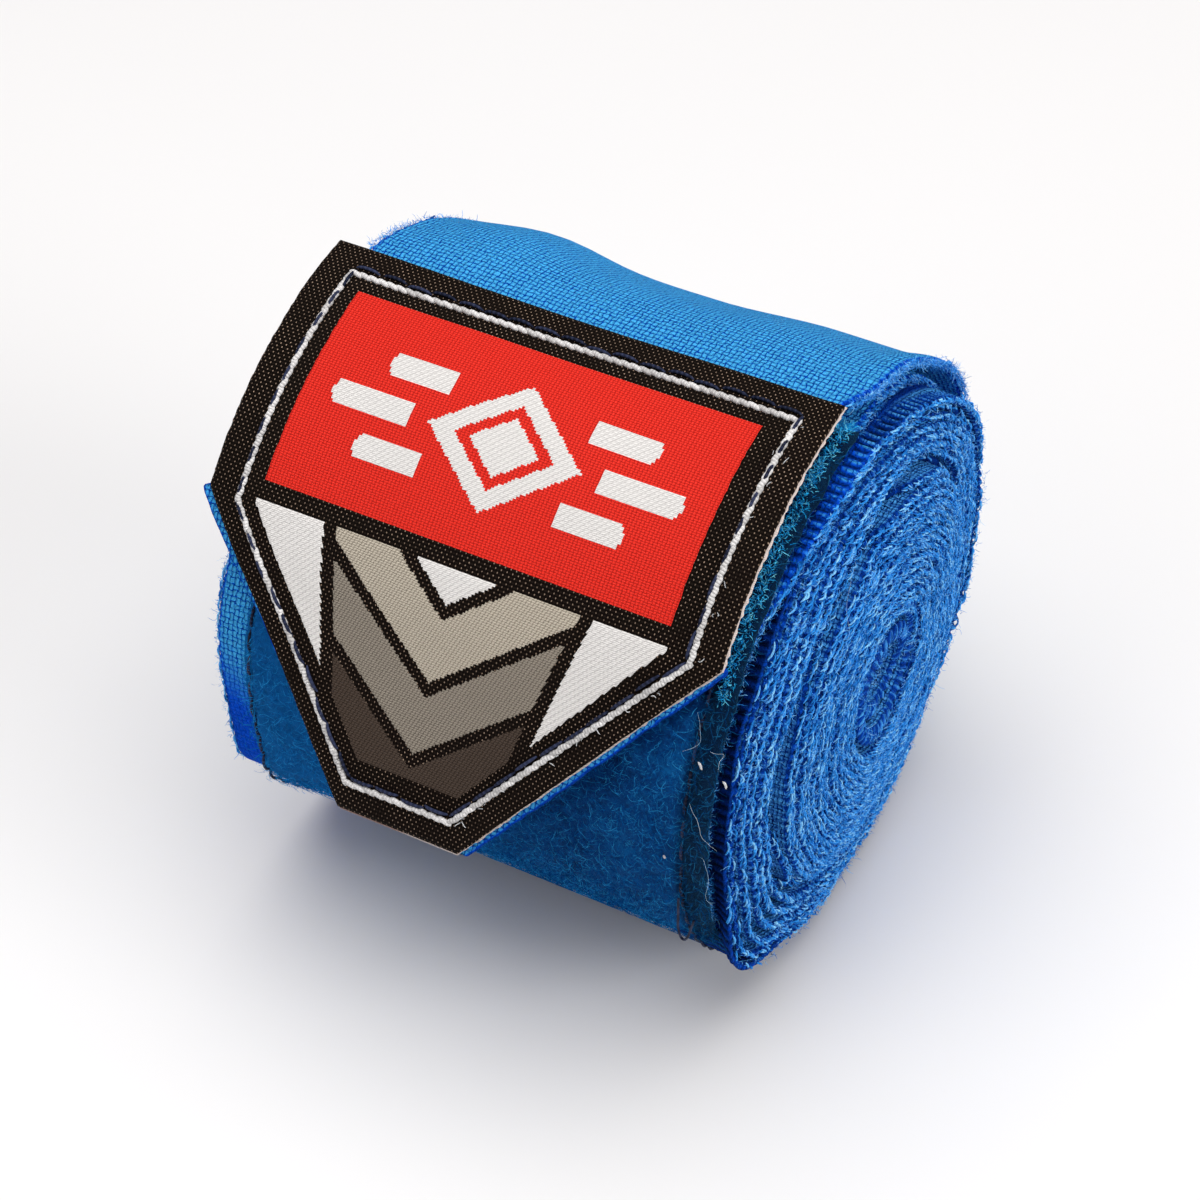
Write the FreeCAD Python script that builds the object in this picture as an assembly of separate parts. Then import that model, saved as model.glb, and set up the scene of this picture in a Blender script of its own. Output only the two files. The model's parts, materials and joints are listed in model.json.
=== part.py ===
import FreeCAD, Part
import math
import os

# Elastic hand wrap: a 50 mm band rolled up on its side and closed with a
# hook tab that carries a shield-shaped woven label. Millimetres, +Z up.
# The roll's axis is along X and the label faces -Y. Sections are drawn in
# the YZ plane by the angle phi: 0 faces -Y, 90 is the top, 180 faces +Y.

V = FreeCAD.Vector

# Band and roll. The coil inside the last two turns is pushed out by
# COIL_SHIFT at the +X end, as a roll wound by hand is.
BAND_W = 50.0
BAND_T = 0.79
TURN_GAP = 0.05
TIGHT_TURNS = 24
CORE_TURNS = 3
CORE_PITCH = 2.2
ROLL_R = 28.2
FLAT_HALF_ANGLE = 12.0
COIL_SHIFT = 2.4

# Thumb loop, a doubled tape rolled into the core
LOOP_TAPE_W = 15.0
LOOP_TAPE_T = 0.45
LOOP_SLIT = 0.1

# Loop panel on the turn under the tab
PANEL_W = 44.0
PANEL_T = 1.18
PANEL_TOP = 84.0
PANEL_BOTTOM = -62.0

# Layers of the tab, inside to outside, on the arc over the loop panel
HOOK_T = 0.9
BACKING_T = 0.15
LABEL_T = 0.6
LAYER_GAP = 0.05
SKIN_GAP = 0.02

# Tail between the roll and the tab
TAIL_START = 150.0
LIFT_OFF = 127.0
BRIDGE_R = 120.0
SHOULDER_R = 20.0
TAIL_SEGMENT = 9.2
SEGMENT_GAP = 0.2

# Label: a shield, square above its side corners and tapered below them
LABEL_W = 51.1
LABEL_SIDE = 27.1
LABEL_H = 51.3
LABEL_TIP_W = 12.4
LABEL_X = -1.95
LABEL_BORDER = 2.9
TAB_RIM = 0.7
TIP_LIFT_OFF = 29.5
TIP_HINGE = 52.0

# Sewing thread
STITCH_L = 1.9
STITCH_STEP = 2.4
STITCH_W = 0.35
STITCH_T = 0.22

PITCH = BAND_T + TURN_GAP
FRONT_R = ROLL_R - BAND_T / 2
BACK_R = FRONT_R + PITCH / 2
BACK_Z = PITCH / 2
PANEL_IN = ROLL_R + SKIN_GAP
HOOK_IN = PANEL_IN + PANEL_T + LAYER_GAP
TAB_IN = HOOK_IN + HOOK_T + LAYER_GAP
TAB_R = TAB_IN + BAND_T / 2
HALF_T = BAND_T / 2
BACKING_N = HALF_T + SKIN_GAP
LABEL_N = BACKING_N + BACKING_T + SKIN_GAP
SKIN_N = LABEL_N + LABEL_T


def direction(phi):
    a = math.radians(phi)
    return V(0, -math.cos(a), math.sin(a))


def tangent(phi):
    """The way along the band towards the tab's tip."""
    a = math.radians(phi)
    return V(0, -math.sin(a), -math.cos(a))


def place(arc, n, phi):
    z, y, r = arc[0], arc[1], arc[2]
    return V(0, y, z) + direction(phi) * (r + n)


def arc_length(arc):
    return arc[2] * math.radians(arc[3] - arc[4])


def side_edges(arcs, n, straight):
    """The edges of one side of a ribbon, offset n outwards."""
    edges = []
    last = None
    for arc in arcs:
        first = place(arc, n, arc[3])
        if last is not None and (first - last).Length > 1e-4:
            edges.append(Part.LineSegment(last, first).toShape())
        middle = place(arc, n, (arc[3] + arc[4]) / 2)
        last = place(arc, n, arc[4])
        edges.append(Part.Arc(first, middle, last).toShape())
    if straight > 0:
        tip = last + tangent(arcs[-1][4]) * straight
        edges.append(Part.LineSegment(last, tip).toShape())
        last = tip
    return edges, place(arcs[0], n, arcs[0][3]), last


def ribbon(arcs, n_in, n_out, x0, x1, straight=0.0):
    """A strip that follows the arcs, between two offsets and two x values."""
    outer, outer_first, outer_last = side_edges(arcs, n_out, straight)
    inner, inner_first, inner_last = side_edges(arcs, n_in, straight)
    end = Part.LineSegment(outer_last, inner_last).toShape()
    start = Part.LineSegment(inner_first, outer_first).toShape()
    wire = Part.Wire(outer + [end] + inner[::-1] + [start])
    face = Part.Face(wire)
    face.translate(V(x0, 0, 0))
    return face.extrude(V(x1 - x0, 0, 0))


def trim(arcs, s0, s1):
    """The part of a run of arcs from length s0 to length s1."""
    kept = []
    s = 0.0
    for arc in arcs:
        length = arc_length(arc)
        a = max(s0, s)
        b = min(s1, s + length)
        if b - a > 1e-6:
            from_phi = arc[3] - math.degrees((a - s) / arc[2])
            to_phi = arc[3] - math.degrees((b - s) / arc[2])
            kept.append((arc[0], arc[1], arc[2], from_phi, to_phi))
        s += length
    return kept


def at(arcs, s):
    """The arc that holds length s, and the angle there."""
    for arc in arcs:
        length = arc_length(arc)
        if s <= length:
            return arc, arc[3] - math.degrees(s / arc[2])
        s -= length
    return arcs[-1], arcs[-1][4]


# An arc is (centre z, centre y, radius, first phi, last phi).

def spiral_turn(r, pitch):
    """One turn: front half, flat underside, back half."""
    half = pitch / 2
    flat = math.radians(FLAT_HALF_ANGLE)
    back_flat = math.acos((half + r * math.cos(flat)) / (r + half))
    front = (0, 0, r, 90, -90 + FLAT_HALF_ANGLE)
    back = (half, 0, r + half, -90 - math.degrees(back_flat), -270)
    return front, back


def roll_arcs():
    """The band from the core to where the tail begins."""
    arcs = []
    r = FRONT_R - TIGHT_TURNS * PITCH - CORE_TURNS * CORE_PITCH
    for turn in range(CORE_TURNS):
        arcs.extend(spiral_turn(r, CORE_PITCH))
        r += CORE_PITCH
    for turn in range(TIGHT_TURNS):
        arcs.extend(spiral_turn(r, PITCH))
        r += PITCH
    front, back = spiral_turn(r, PITCH)
    arcs.append(front)
    arcs.append(back[:4] + (TAIL_START - 360,))
    return arcs


def tail_arcs():
    """The band from the tail's start to where the tab's tip runs straight."""
    leave = (BACK_Z, 0, BACK_R, TAIL_START, LIFT_OFF)
    c1 = V(0, 0, BACK_Z) - direction(LIFT_OFF) * (BRIDGE_R - BACK_R)
    reach = BRIDGE_R - SHOULDER_R
    k = (TAB_R - SHOULDER_R) ** 2 - c1.Length ** 2 - reach ** 2
    k = k / (2 * reach * c1.Length)
    bearing = math.degrees(math.atan2(c1.z, -c1.y))
    turn_phi = bearing + math.degrees(math.acos(k))
    if abs(turn_phi - LIFT_OFF) > 90:
        turn_phi = bearing - math.degrees(math.acos(k))
    if turn_phi < 0:
        turn_phi += 360
    c2 = c1 + direction(turn_phi) * reach
    join_phi = math.degrees(math.atan2(c2.z, -c2.y))
    bridge = (c1.z, c1.y, BRIDGE_R, LIFT_OFF, turn_phi)
    shoulder = (c2.z, c2.y, SHOULDER_R, turn_phi, join_phi)
    over = (0, 0, TAB_R, join_phi, TIP_LIFT_OFF)
    return [leave, bridge, shoulder, over]


def box_on(arc, n, phi, x, angle, length):
    """A stitch on the surface: length is along the band when angle is 0."""
    shape = Part.makeBox(STITCH_W, length, STITCH_T)
    shape.translate(V(-STITCH_W / 2, -length / 2, 0))
    shape.rotate(V(0, 0, 0), V(0, 0, 1), angle)
    shape.rotate(V(0, 0, 0), V(1, 0, 0), 90 - phi)
    shape.translate(place(arc, n + SKIN_GAP, phi) + V(x, 0, 0))
    return shape


def row_across(arc, n, phi, x0, x1):
    """Stitches across the band at one place."""
    count = int((x1 - x0) / STITCH_STEP)
    step = (x1 - x0) / count
    xs = [x0 + step * (i + 0.5) for i in range(count)]
    return [box_on(arc, n, phi, x, 90, STITCH_L) for x in xs]


def row_along(arcs, n, s0, s1, x):
    """Stitches along the band."""
    count = int((s1 - s0) / STITCH_STEP)
    step = (s1 - s0) / count
    row = []
    for i in range(count):
        arc, phi = at(arcs, s0 + step * (i + 0.5))
        row.append(box_on(arc, n, phi, x, 0, STITCH_L))
    return row


def row_on_tip(n, p, q):
    """Stitches on the tab's lower half, between two flat points."""
    over = TAIL[3]
    way = tangent(TIP_LIFT_OFF)
    length = math.hypot(q[0] - p[0], q[1] - p[1])
    angle = math.degrees(math.atan2(q[0] - p[0], q[1] - p[1]))
    count = int(length / STITCH_STEP)
    row = []
    for i in range(count):
        f = (i + 0.5) / count
        x = p[0] + (q[0] - p[0]) * f
        down = p[1] + (q[1] - p[1]) * f
        past = math.degrees(max(0, -down) / (TAB_R + n))
        stitch = box_on(over, n, TIP_LIFT_OFF + past, x, angle, STITCH_L)
        stitch.translate(way * max(0, down))
        row.append(stitch)
    return row


def shield_prism(grow):
    """A prism through the tip, with the label's outline below its sides."""
    over = (0, 0, TAB_R, 90, TIP_LIFT_OFF)
    base = place(over, 0, TIP_LIFT_OFF)
    way = tangent(TIP_LIFT_OFF)
    out = direction(TIP_LIFT_OFF)
    half = LABEL_W / 2 + grow
    tip = LABEL_TIP_W / 2 + grow * 0.6
    side = LABEL_SIDE - ARC_PART
    end = STRAIGHT_PART + grow
    outline = [(-BAND_W, -BAND_W), (BAND_W, -BAND_W), (BAND_W, side)]
    outline += [(half, side), (tip, end), (-tip, end)]
    outline += [(-half, side), (-BAND_W, side)]
    points = []
    for x, down in outline:
        points.append(base + way * down + V(LABEL_X + x, 0, 0) - out * 12)
    wire = Part.makePolygon(points + [points[0]])
    return Part.Face(wire).extrude(out * 24)


def lower_sheet(arcs, n_in, n_out, x0, x1, grow):
    """A layer of the tab's lower half, cut to the shield."""
    long = STRAIGHT_PART + grow
    sheet = ribbon(arcs, n_in, n_out, x0, x1, long)
    return sheet.common(shield_prism(grow))


ROLL = roll_arcs()
TAIL = tail_arcs()
TAIL_LEN = sum(arc_length(arc) for arc in TAIL[:3])
LABEL_S = TAIL_LEN - 0.4
OVER_LEN = TAIL_LEN + arc_length(TAIL[3])
TIP_S = TAIL_LEN + TAB_R * math.radians(TAIL[3][3] - TIP_HINGE)
ARC_PART = (OVER_LEN - LABEL_S) * (TAB_R + SKIN_N) / TAB_R
STRAIGHT_PART = LABEL_H - ARC_PART
CUT = SEGMENT_GAP / 2
BAND_X0 = -BAND_W / 2
BAND_X1 = BAND_W / 2
LABEL_X0 = LABEL_X - LABEL_W / 2
LABEL_X1 = LABEL_X + LABEL_W / 2
TAB_X0 = BAND_X0
TAB_X1 = LABEL_X1 + TAB_RIM


def thumb_loop_tape():
    """Two layers of tape joined by a fold, between the turns of the core."""
    arcs = ROLL[:2 * CORE_TURNS - 1]
    n0 = HALF_T + 0.07
    n1 = n0 + LOOP_TAPE_T
    n2 = n1 + LOOP_SLIT
    n3 = n2 + LOOP_TAPE_T
    half = LOOP_TAPE_W / 2
    total = sum(arc_length(arc) for arc in arcs)
    run = trim(arcs, 1.2, total - 1.5)
    fold = trim(arcs, 0.7, 1.2)
    lower = ribbon(run, n0, n1, -half, half)
    upper = ribbon(run, n2, n3, -half, half)
    bend = ribbon(fold, n0, n3, -half, half)
    return lower.fuse(upper).fuse(bend)


def core_stitches():
    """The bar that holds the thumb loop's ends to the band."""
    arc = ROLL[2 * CORE_TURNS - 2]
    n = HALF_T + 0.07 + 2 * LOOP_TAPE_T + LOOP_SLIT
    phi = arc[4] + 38
    half = LOOP_TAPE_W / 2 - 1.0
    return row_across(arc, n, phi, -half, half)


def panel_arcs():
    return [(0, 0, ROLL_R, PANEL_TOP, PANEL_BOTTOM)]


def build_roll():
    panel = panel_arcs()
    half = PANEL_W / 2
    n = SKIN_GAP + PANEL_T
    nodes = {}
    coil = ROLL[:-4]
    outer = ROLL[-4:]
    coil_x0 = BAND_X0 + COIL_SHIFT
    coil_x1 = BAND_X1 + COIL_SHIFT
    nodes["wrap_band_coil"] = ribbon(coil, -HALF_T, HALF_T, coil_x0, coil_x1)
    nodes["wrap_band_outer"] = ribbon(outer, -HALF_T, HALF_T, BAND_X0, BAND_X1)
    nodes["thumb_loop"] = thumb_loop_tape()
    nodes["thumb_loop_stitching"] = Part.makeCompound(core_stitches())
    nodes["loop_panel"] = ribbon(panel, SKIN_GAP, n, -half, half)
    return nodes


def thread_channel_rows():
    """Rows of thread that hold the loop panel, in its stitched-down margin."""
    panel = panel_arcs()
    half = PANEL_W / 2
    length = arc_length(panel[0])
    rows = {}
    side = half + STITCH_W / 2 + 0.1
    rows["loop_panel_stitching_left"] = row_along(panel, 0, 1, length - 1, -side)
    rows["loop_panel_stitching_right"] = row_along(panel, 0, 1, length - 1, side)
    gap = math.degrees((STITCH_W / 2 + 0.1) / ROLL_R)
    top = row_across(panel[0], 0, PANEL_TOP + gap, -half, half)
    low = row_across(panel[0], 0, PANEL_BOTTOM - gap, -half, half)
    rows["loop_panel_stitching_top"] = top
    rows["loop_panel_stitching_bottom"] = low
    return {name: Part.makeCompound(row) for name, row in rows.items()}


def build_tail():
    nodes = {}
    for i in range(3):
        s0 = i * TAIL_SEGMENT + CUT
        s1 = (i + 1) * TAIL_SEGMENT - CUT
        arcs = trim(TAIL, s0, s1)
        name = "tail_band_%d" % (i + 1)
        nodes[name] = ribbon(arcs, -HALF_T, HALF_T, BAND_X0, BAND_X1)
    return nodes


def build_tab_upper():
    s0 = 3 * TAIL_SEGMENT + CUT
    s1 = TIP_S - CUT
    band = trim(TAIL, s0, s1)
    hook = trim(TAIL, TAIL_LEN + 0.6, s1)
    skin = trim(TAIL, LABEL_S, s1)
    hook_n = -HALF_T - LAYER_GAP
    mid = LABEL_X
    half = LABEL_W / 2 - LABEL_BORDER
    top_s = LABEL_S + LABEL_BORDER
    arc, phi = at(TAIL, top_s)
    rows = row_across(arc, SKIN_N, phi, mid - half + 0.6, mid + half - 0.6)
    rows += row_along(TAIL, SKIN_N, top_s, s1 - 0.4, mid - half)
    rows += row_along(TAIL, SKIN_N, top_s, s1 - 0.4, mid + half)
    nodes = {}
    nodes["tab_band_upper"] = ribbon(band, -HALF_T, HALF_T, TAB_X0, BAND_X1)
    nodes["hook_panel_upper"] = ribbon(hook, hook_n - HOOK_T, hook_n, TAB_X0, TAB_X1)
    nodes["label_backing_upper"] = ribbon(
        skin, BACKING_N, BACKING_N + BACKING_T, LABEL_X0, LABEL_X1)
    nodes["label_upper"] = ribbon(skin, LABEL_N, SKIN_N, LABEL_X0, LABEL_X1)
    nodes["label_stitching_upper"] = Part.makeCompound(rows)
    return nodes


def build_tab_lower():
    s0 = TIP_S + CUT
    arcs = trim(TAIL, s0, OVER_LEN)
    hook_n = -HALF_T - LAYER_GAP
    half = LABEL_W / 2 - LABEL_BORDER
    side_s = LABEL_SIDE - ARC_PART
    inset = LABEL_BORDER
    tip = LABEL_TIP_W / 2 - 1.2
    end = STRAIGHT_PART - 2.2
    rows = row_along(TAIL, SKIN_N, s0 + 0.4, OVER_LEN + side_s, LABEL_X - half)
    rows += row_along(TAIL, SKIN_N, s0 + 0.4, OVER_LEN + side_s, LABEL_X + half)
    left = (LABEL_X - half, side_s + 0.6)
    right = (LABEL_X + half, side_s + 0.6)
    low_left = (LABEL_X - tip, end)
    low_right = (LABEL_X + tip, end)
    rows += row_on_tip(SKIN_N, left, low_left)
    rows += row_on_tip(SKIN_N, right, low_right)
    rows += row_on_tip(SKIN_N, low_left, low_right)
    nodes = {}
    nodes["tab_band_lower"] = lower_sheet(
        arcs, -HALF_T, HALF_T, TAB_X0, BAND_X1, TAB_RIM)
    nodes["hook_panel_lower"] = lower_sheet(
        arcs, hook_n - HOOK_T, hook_n, TAB_X0, TAB_X1, TAB_RIM)
    nodes["label_backing_lower"] = lower_sheet(
        arcs, BACKING_N, BACKING_N + BACKING_T, LABEL_X0, LABEL_X1, 0.0)
    nodes["label_lower"] = lower_sheet(
        arcs, LABEL_N, SKIN_N, LABEL_X0, LABEL_X1, 0.0)
    nodes["label_stitching_lower"] = Part.makeCompound(rows)
    return nodes


def hinge_points():
    points = {}
    names = ["tail_bend_1", "tail_bend_2", "tail_bend_3", "tab_peel"]
    for i, name in enumerate(names):
        arc, phi = at(TAIL, i * TAIL_SEGMENT)
        points[name] = place(arc, HALF_T, phi)
    arc, phi = at(TAIL, TIP_S)
    points["tip_lift"] = place(arc, SKIN_N + STITCH_T + 0.1, phi)
    return points


def main():
    nodes = {}
    nodes.update(build_roll())
    nodes.update(thread_channel_rows())
    nodes.update(build_tail())
    nodes.update(build_tab_upper())
    nodes.update(build_tab_lower())
    box = Part.makeCompound(list(nodes.values())).BoundBox
    middle = V((box.XMin + box.XMax) / 2, (box.YMin + box.YMax) / 2, box.ZMin)
    os.makedirs("parts", exist_ok=True)
    for name, shape in nodes.items():
        shape.translate(middle * -1)
        shape.exportStep("parts/%s.step" % name)
        valid = shape.isValid()
        print(name, len(shape.Solids), valid, round(shape.Volume, 2))
    length = sum(arc_length(arc) for arc in ROLL) + OVER_LEN + STRAIGHT_PART
    print("band length", round(length, 1))
    print("size", box.XLength, box.YLength, box.ZLength)
    print("roll axis at y, z", -middle.y, -middle.z, "band centre x", -middle.x)
    print("tail arcs", TAIL)
    print("label from", LABEL_S, "arc part", ARC_PART, "straight", STRAIGHT_PART)
    for name, point in hinge_points().items():
        print(name, point - middle)


main()
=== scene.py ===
import math

import bpy
import numpy as np
from mathutils import Matrix, Vector
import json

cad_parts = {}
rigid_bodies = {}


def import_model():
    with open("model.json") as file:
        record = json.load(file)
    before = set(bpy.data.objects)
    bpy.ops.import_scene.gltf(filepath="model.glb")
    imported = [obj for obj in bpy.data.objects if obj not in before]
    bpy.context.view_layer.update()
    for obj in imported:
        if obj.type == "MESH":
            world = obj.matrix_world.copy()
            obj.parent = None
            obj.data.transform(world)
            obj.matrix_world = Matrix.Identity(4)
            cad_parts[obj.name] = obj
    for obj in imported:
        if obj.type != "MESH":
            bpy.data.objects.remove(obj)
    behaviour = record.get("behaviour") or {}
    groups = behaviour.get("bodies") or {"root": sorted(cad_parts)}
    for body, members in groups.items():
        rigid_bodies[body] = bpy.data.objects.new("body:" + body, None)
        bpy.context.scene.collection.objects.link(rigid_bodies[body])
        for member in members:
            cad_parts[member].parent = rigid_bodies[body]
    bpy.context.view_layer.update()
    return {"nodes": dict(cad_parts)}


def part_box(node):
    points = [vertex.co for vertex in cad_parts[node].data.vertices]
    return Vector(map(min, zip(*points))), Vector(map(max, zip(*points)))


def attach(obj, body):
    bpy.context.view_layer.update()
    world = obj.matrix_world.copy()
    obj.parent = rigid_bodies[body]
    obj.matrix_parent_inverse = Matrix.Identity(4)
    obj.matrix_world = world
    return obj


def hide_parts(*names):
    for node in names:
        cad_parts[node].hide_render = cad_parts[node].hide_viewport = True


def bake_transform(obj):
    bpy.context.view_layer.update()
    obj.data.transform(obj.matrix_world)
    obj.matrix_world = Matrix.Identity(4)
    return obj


# A rolled elastic hand wrap. Lengths are in millimetres until a mesh is made.
# The band is drawn in sections across the roll: s runs along the strip towards
# the tab's tip, n stands out from its middle layer, x runs along the roll.

MM = 0.001
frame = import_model()


def box_mm(node):
    low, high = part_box(node)
    return np.array(low) / MM, np.array(high) / MM


# The band, its roll and the tab's layers: the CAD model's own sizes
BAND_T = 0.79
TURN_GAP = 0.05
TIGHT_TURNS = 24
CORE_TURNS = 3
CORE_PITCH = 2.2
ROLL_R = 28.2
FLAT_HALF_ANGLE = 12.0
PANEL_T = 1.18
HOOK_T = 0.9
LABEL_T = 0.6
LAYER_GAP = 0.05
SKIN_GAP = 0.02
BACKING_T = 0.15
TAIL_START = 150.0
LIFT_OFF = 127.0
BRIDGE_R = 120.0
SHOULDER_R = 20.0
TAIL_SEGMENT = 9.2
TIP_LIFT_OFF = 29.5
TOP_SLACK = 0.4
LABEL_SIDE = 27.1
LABEL_H = 51.3
LABEL_TIP_W = 12.4
TAB_RIM = 0.7
PANEL_TOP = 84.0
PANEL_BOTTOM = -62.0

PITCH = BAND_T + TURN_GAP
HALF_T = BAND_T / 2
FRONT_R = ROLL_R - HALF_T
BACK_R = FRONT_R + PITCH / 2
HOOK_N = -HALF_T - LAYER_GAP
TAB_R = ROLL_R + SKIN_GAP + PANEL_T + HOOK_T + 2 * LAYER_GAP + HALF_T
BACKING_N = HALF_T + SKIN_GAP
LABEL_N = BACKING_N + BACKING_T + SKIN_GAP
SKIN_N = LABEL_N + LABEL_T

OUTER_LOW, OUTER_HIGH = box_mm("wrap_band_outer")
COIL_LOW, COIL_HIGH = box_mm("wrap_band_coil")
LABEL_LOW, LABEL_HIGH = box_mm("label_upper")
PANEL_LOW, PANEL_HIGH = box_mm("loop_panel")
BAND_L, BAND_R = OUTER_LOW[0], OUTER_HIGH[0]
BAND_X = (BAND_L + BAND_R) / 2
LABEL_X = (LABEL_LOW[0] + LABEL_HIGH[0]) / 2
LABEL_W = LABEL_HIGH[0] - LABEL_LOW[0]
AXIS_Y = OUTER_LOW[1] + ROLL_R
AXIS_Z = ROLL_R * math.cos(math.radians(FLAT_HALF_ANGLE))

# Looks only
TAB_START = 2.0
TIP_TRIM = 0.15
HOOK_START = 1.0
HOOK_SHARE = 0.96
RIM_R = 26.8
YARN_START = 60.0
KNOB_PITCH = 1.02
RUNG_REACH = 2.1
BORDER = 2.9
LINE_TOP = 3.6
LINE_SIDE = 27.4
LINE_TIP_W = 10.4
LINE_BOTTOM = 48.7
LINE_INSET = 2.95
FLOAT_PITCH = 0.95
STITCH_PITCH = 2.7
CELL = 0.25


# ---------------------------------------------------------------- sections

def spiral_turn(r, pitch):
    """One turn as (centre z, centre y, radius, first phi, last phi) arcs."""
    half = pitch / 2
    flat = math.radians(FLAT_HALF_ANGLE)
    back_flat = math.acos((half + r * math.cos(flat)) / (r + half))
    front = (0, 0, r, 90, -90 + FLAT_HALF_ANGLE)
    back = (half, 0, r + half, -90 - math.degrees(back_flat), -270)
    return [front, back]


def coil_arcs():
    """The turns inside the last two, from the core out."""
    arcs = []
    r = FRONT_R - TIGHT_TURNS * PITCH - CORE_TURNS * CORE_PITCH
    for turn in range(CORE_TURNS):
        arcs += spiral_turn(r, CORE_PITCH)
        r += CORE_PITCH
    for turn in range(TIGHT_TURNS - 1):
        arcs += spiral_turn(r, PITCH)
        r += PITCH
    return arcs


def outer_arcs():
    """The last turns, the tail and the tab, up to where the tip runs straight."""
    arcs = spiral_turn(FRONT_R - PITCH, PITCH) + spiral_turn(FRONT_R, PITCH)
    arcs[-1] = arcs[-1][:4] + (LIFT_OFF - 360,)
    reach = BRIDGE_R - SHOULDER_R
    away = BRIDGE_R - BACK_R
    c1 = np.array([0, PITCH / 2]) - away * compass(LIFT_OFF)
    far = np.hypot(*c1)
    k = ((TAB_R - SHOULDER_R) ** 2 - far ** 2 - reach ** 2) / (2 * reach * far)
    bearing = math.degrees(math.atan2(c1[1], -c1[0]))
    options = [(bearing + sign * math.degrees(math.acos(k))) % 360 for sign in (1, -1)]
    turn_phi = min(options, key=lambda phi: abs(phi - LIFT_OFF))
    c2 = c1 + reach * compass(turn_phi)
    join_phi = math.degrees(math.atan2(c2[1], -c2[0]))
    arcs.append((c1[1], c1[0], BRIDGE_R, LIFT_OFF - 360, turn_phi - 360))
    arcs.append((c2[1], c2[0], SHOULDER_R, turn_phi - 360, join_phi - 360))
    arcs.append((0, 0, TAB_R, join_phi - 360, TIP_LIFT_OFF - 360))
    return arcs


def compass(phi):
    """The outward direction (y, z) at an angle up from the front."""
    a = np.radians(phi)
    return np.array([-np.cos(a), np.sin(a)])


SAMPLE = 0.05


class Section:
    """A strip's middle line in the YZ plane, read by length along it."""

    def __init__(self, arcs, straight=0.0, ease=0.8):
        points = []
        for z, y, r, start, end in arcs:
            phi = np.linspace(start, end, max(8, int(r * math.radians(start - end) / SAMPLE)))
            points.append((np.array([y, z])[:, None] + r * compass(phi)).T)
        if straight:
            way = np.array([-math.sin(math.radians(end)), -math.cos(math.radians(end))])
            points.append(points[-1][-1] + np.outer(np.linspace(SAMPLE, straight, 600), way))
        line = np.concatenate(points)
        steps = np.hypot(*np.diff(line, axis=0).T)
        line = line[np.append(True, steps > 1e-6)]
        length = np.append(0, np.cumsum(np.hypot(*np.diff(line, axis=0).T)))
        self.s = np.arange(0, length[-1], SAMPLE)
        even = np.stack([np.interp(self.s, length, line[:, i]) for i in (0, 1)], 1)
        reach = int(ease / SAMPLE)
        kernel = np.hanning(2 * reach + 1)
        kernel /= kernel.sum()
        padded = np.pad(even, ((reach, reach), (0, 0)), mode="reflect", reflect_type="odd")
        smooth = [np.convolve(padded[:, i], kernel, "valid") for i in (0, 1)]
        self.line = np.stack(smooth, 1)
        way = np.gradient(self.line, SAMPLE, axis=0)
        way /= np.hypot(*way.T)[:, None]
        self.out = np.stack([way[:, 1], -way[:, 0]], 1)
        self.length = self.s[-1]

    def at(self, s, n):
        """(y, z) of the points at length s that stand n off the middle line."""
        s = np.asarray(s, float)
        over = np.maximum(s - self.s[-1], 0)
        y, z = (np.interp(s, self.s, self.line[:, i]) for i in (0, 1))
        oy, oz = (np.interp(s, self.s, self.out[:, i]) for i in (0, 1))
        y = y + n * oy - over * self.out[-1, 1]
        z = z + n * oz + over * self.out[-1, 0]
        return y + AXIS_Y, z + AXIS_Z

    def way(self, s, n, ds=0.0, dn=0.0):
        """The direction in which a step along s or n goes, as (x, y, z) rows."""
        (y, z), (y2, z2) = self.at(s, n), self.at(s + ds, n + dn)
        return np.stack([0 * s, y2 - y, z2 - z], 1) / (ds + dn)

    def find(self, phi, after=0.0):
        """The first length after a given one where the normal points to phi."""
        angle = np.degrees(np.arctan2(self.out[:, 1], -self.out[:, 0])) % 360
        gap = np.abs((angle - phi + 180) % 360 - 180)
        return self.s[np.argmax((gap < 0.2) & (self.s >= after))]


# ---------------------------------------------------------------- noise

LATTICE = np.random.RandomState(11).rand(256, 256) * 2 - 1


def noise(u, v=0.0, seed=0):
    """Smooth noise from -1 to 1, one cell per unit."""
    u = np.asarray(u, float) + 37.7 * seed
    v = np.asarray(v, float) + 19.3 * seed
    u, v = np.broadcast_arrays(u, v)
    iu, iv = np.floor(u).astype(int), np.floor(v).astype(int)
    fu, fv = u - iu, v - iv
    fu, fv = fu * fu * (3 - 2 * fu), fv * fv * (3 - 2 * fv)
    iu, iv = iu % 256, iv % 256
    ju, jv = (iu + 1) % 256, (iv + 1) % 256
    low = LATTICE[iu, iv] * (1 - fu) + LATTICE[ju, iv] * fu
    high = LATTICE[iu, jv] * (1 - fu) + LATTICE[ju, jv] * fu
    return low * (1 - fv) + high * fv


def step(a, b, x):
    """0 on a's side and 1 on b's, with a smooth change between the two."""
    t = np.clip((x - a) / (b - a), 0, 1)
    return t * t * (3 - 2 * t)


# ---------------------------------------------------------------- meshes

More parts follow.
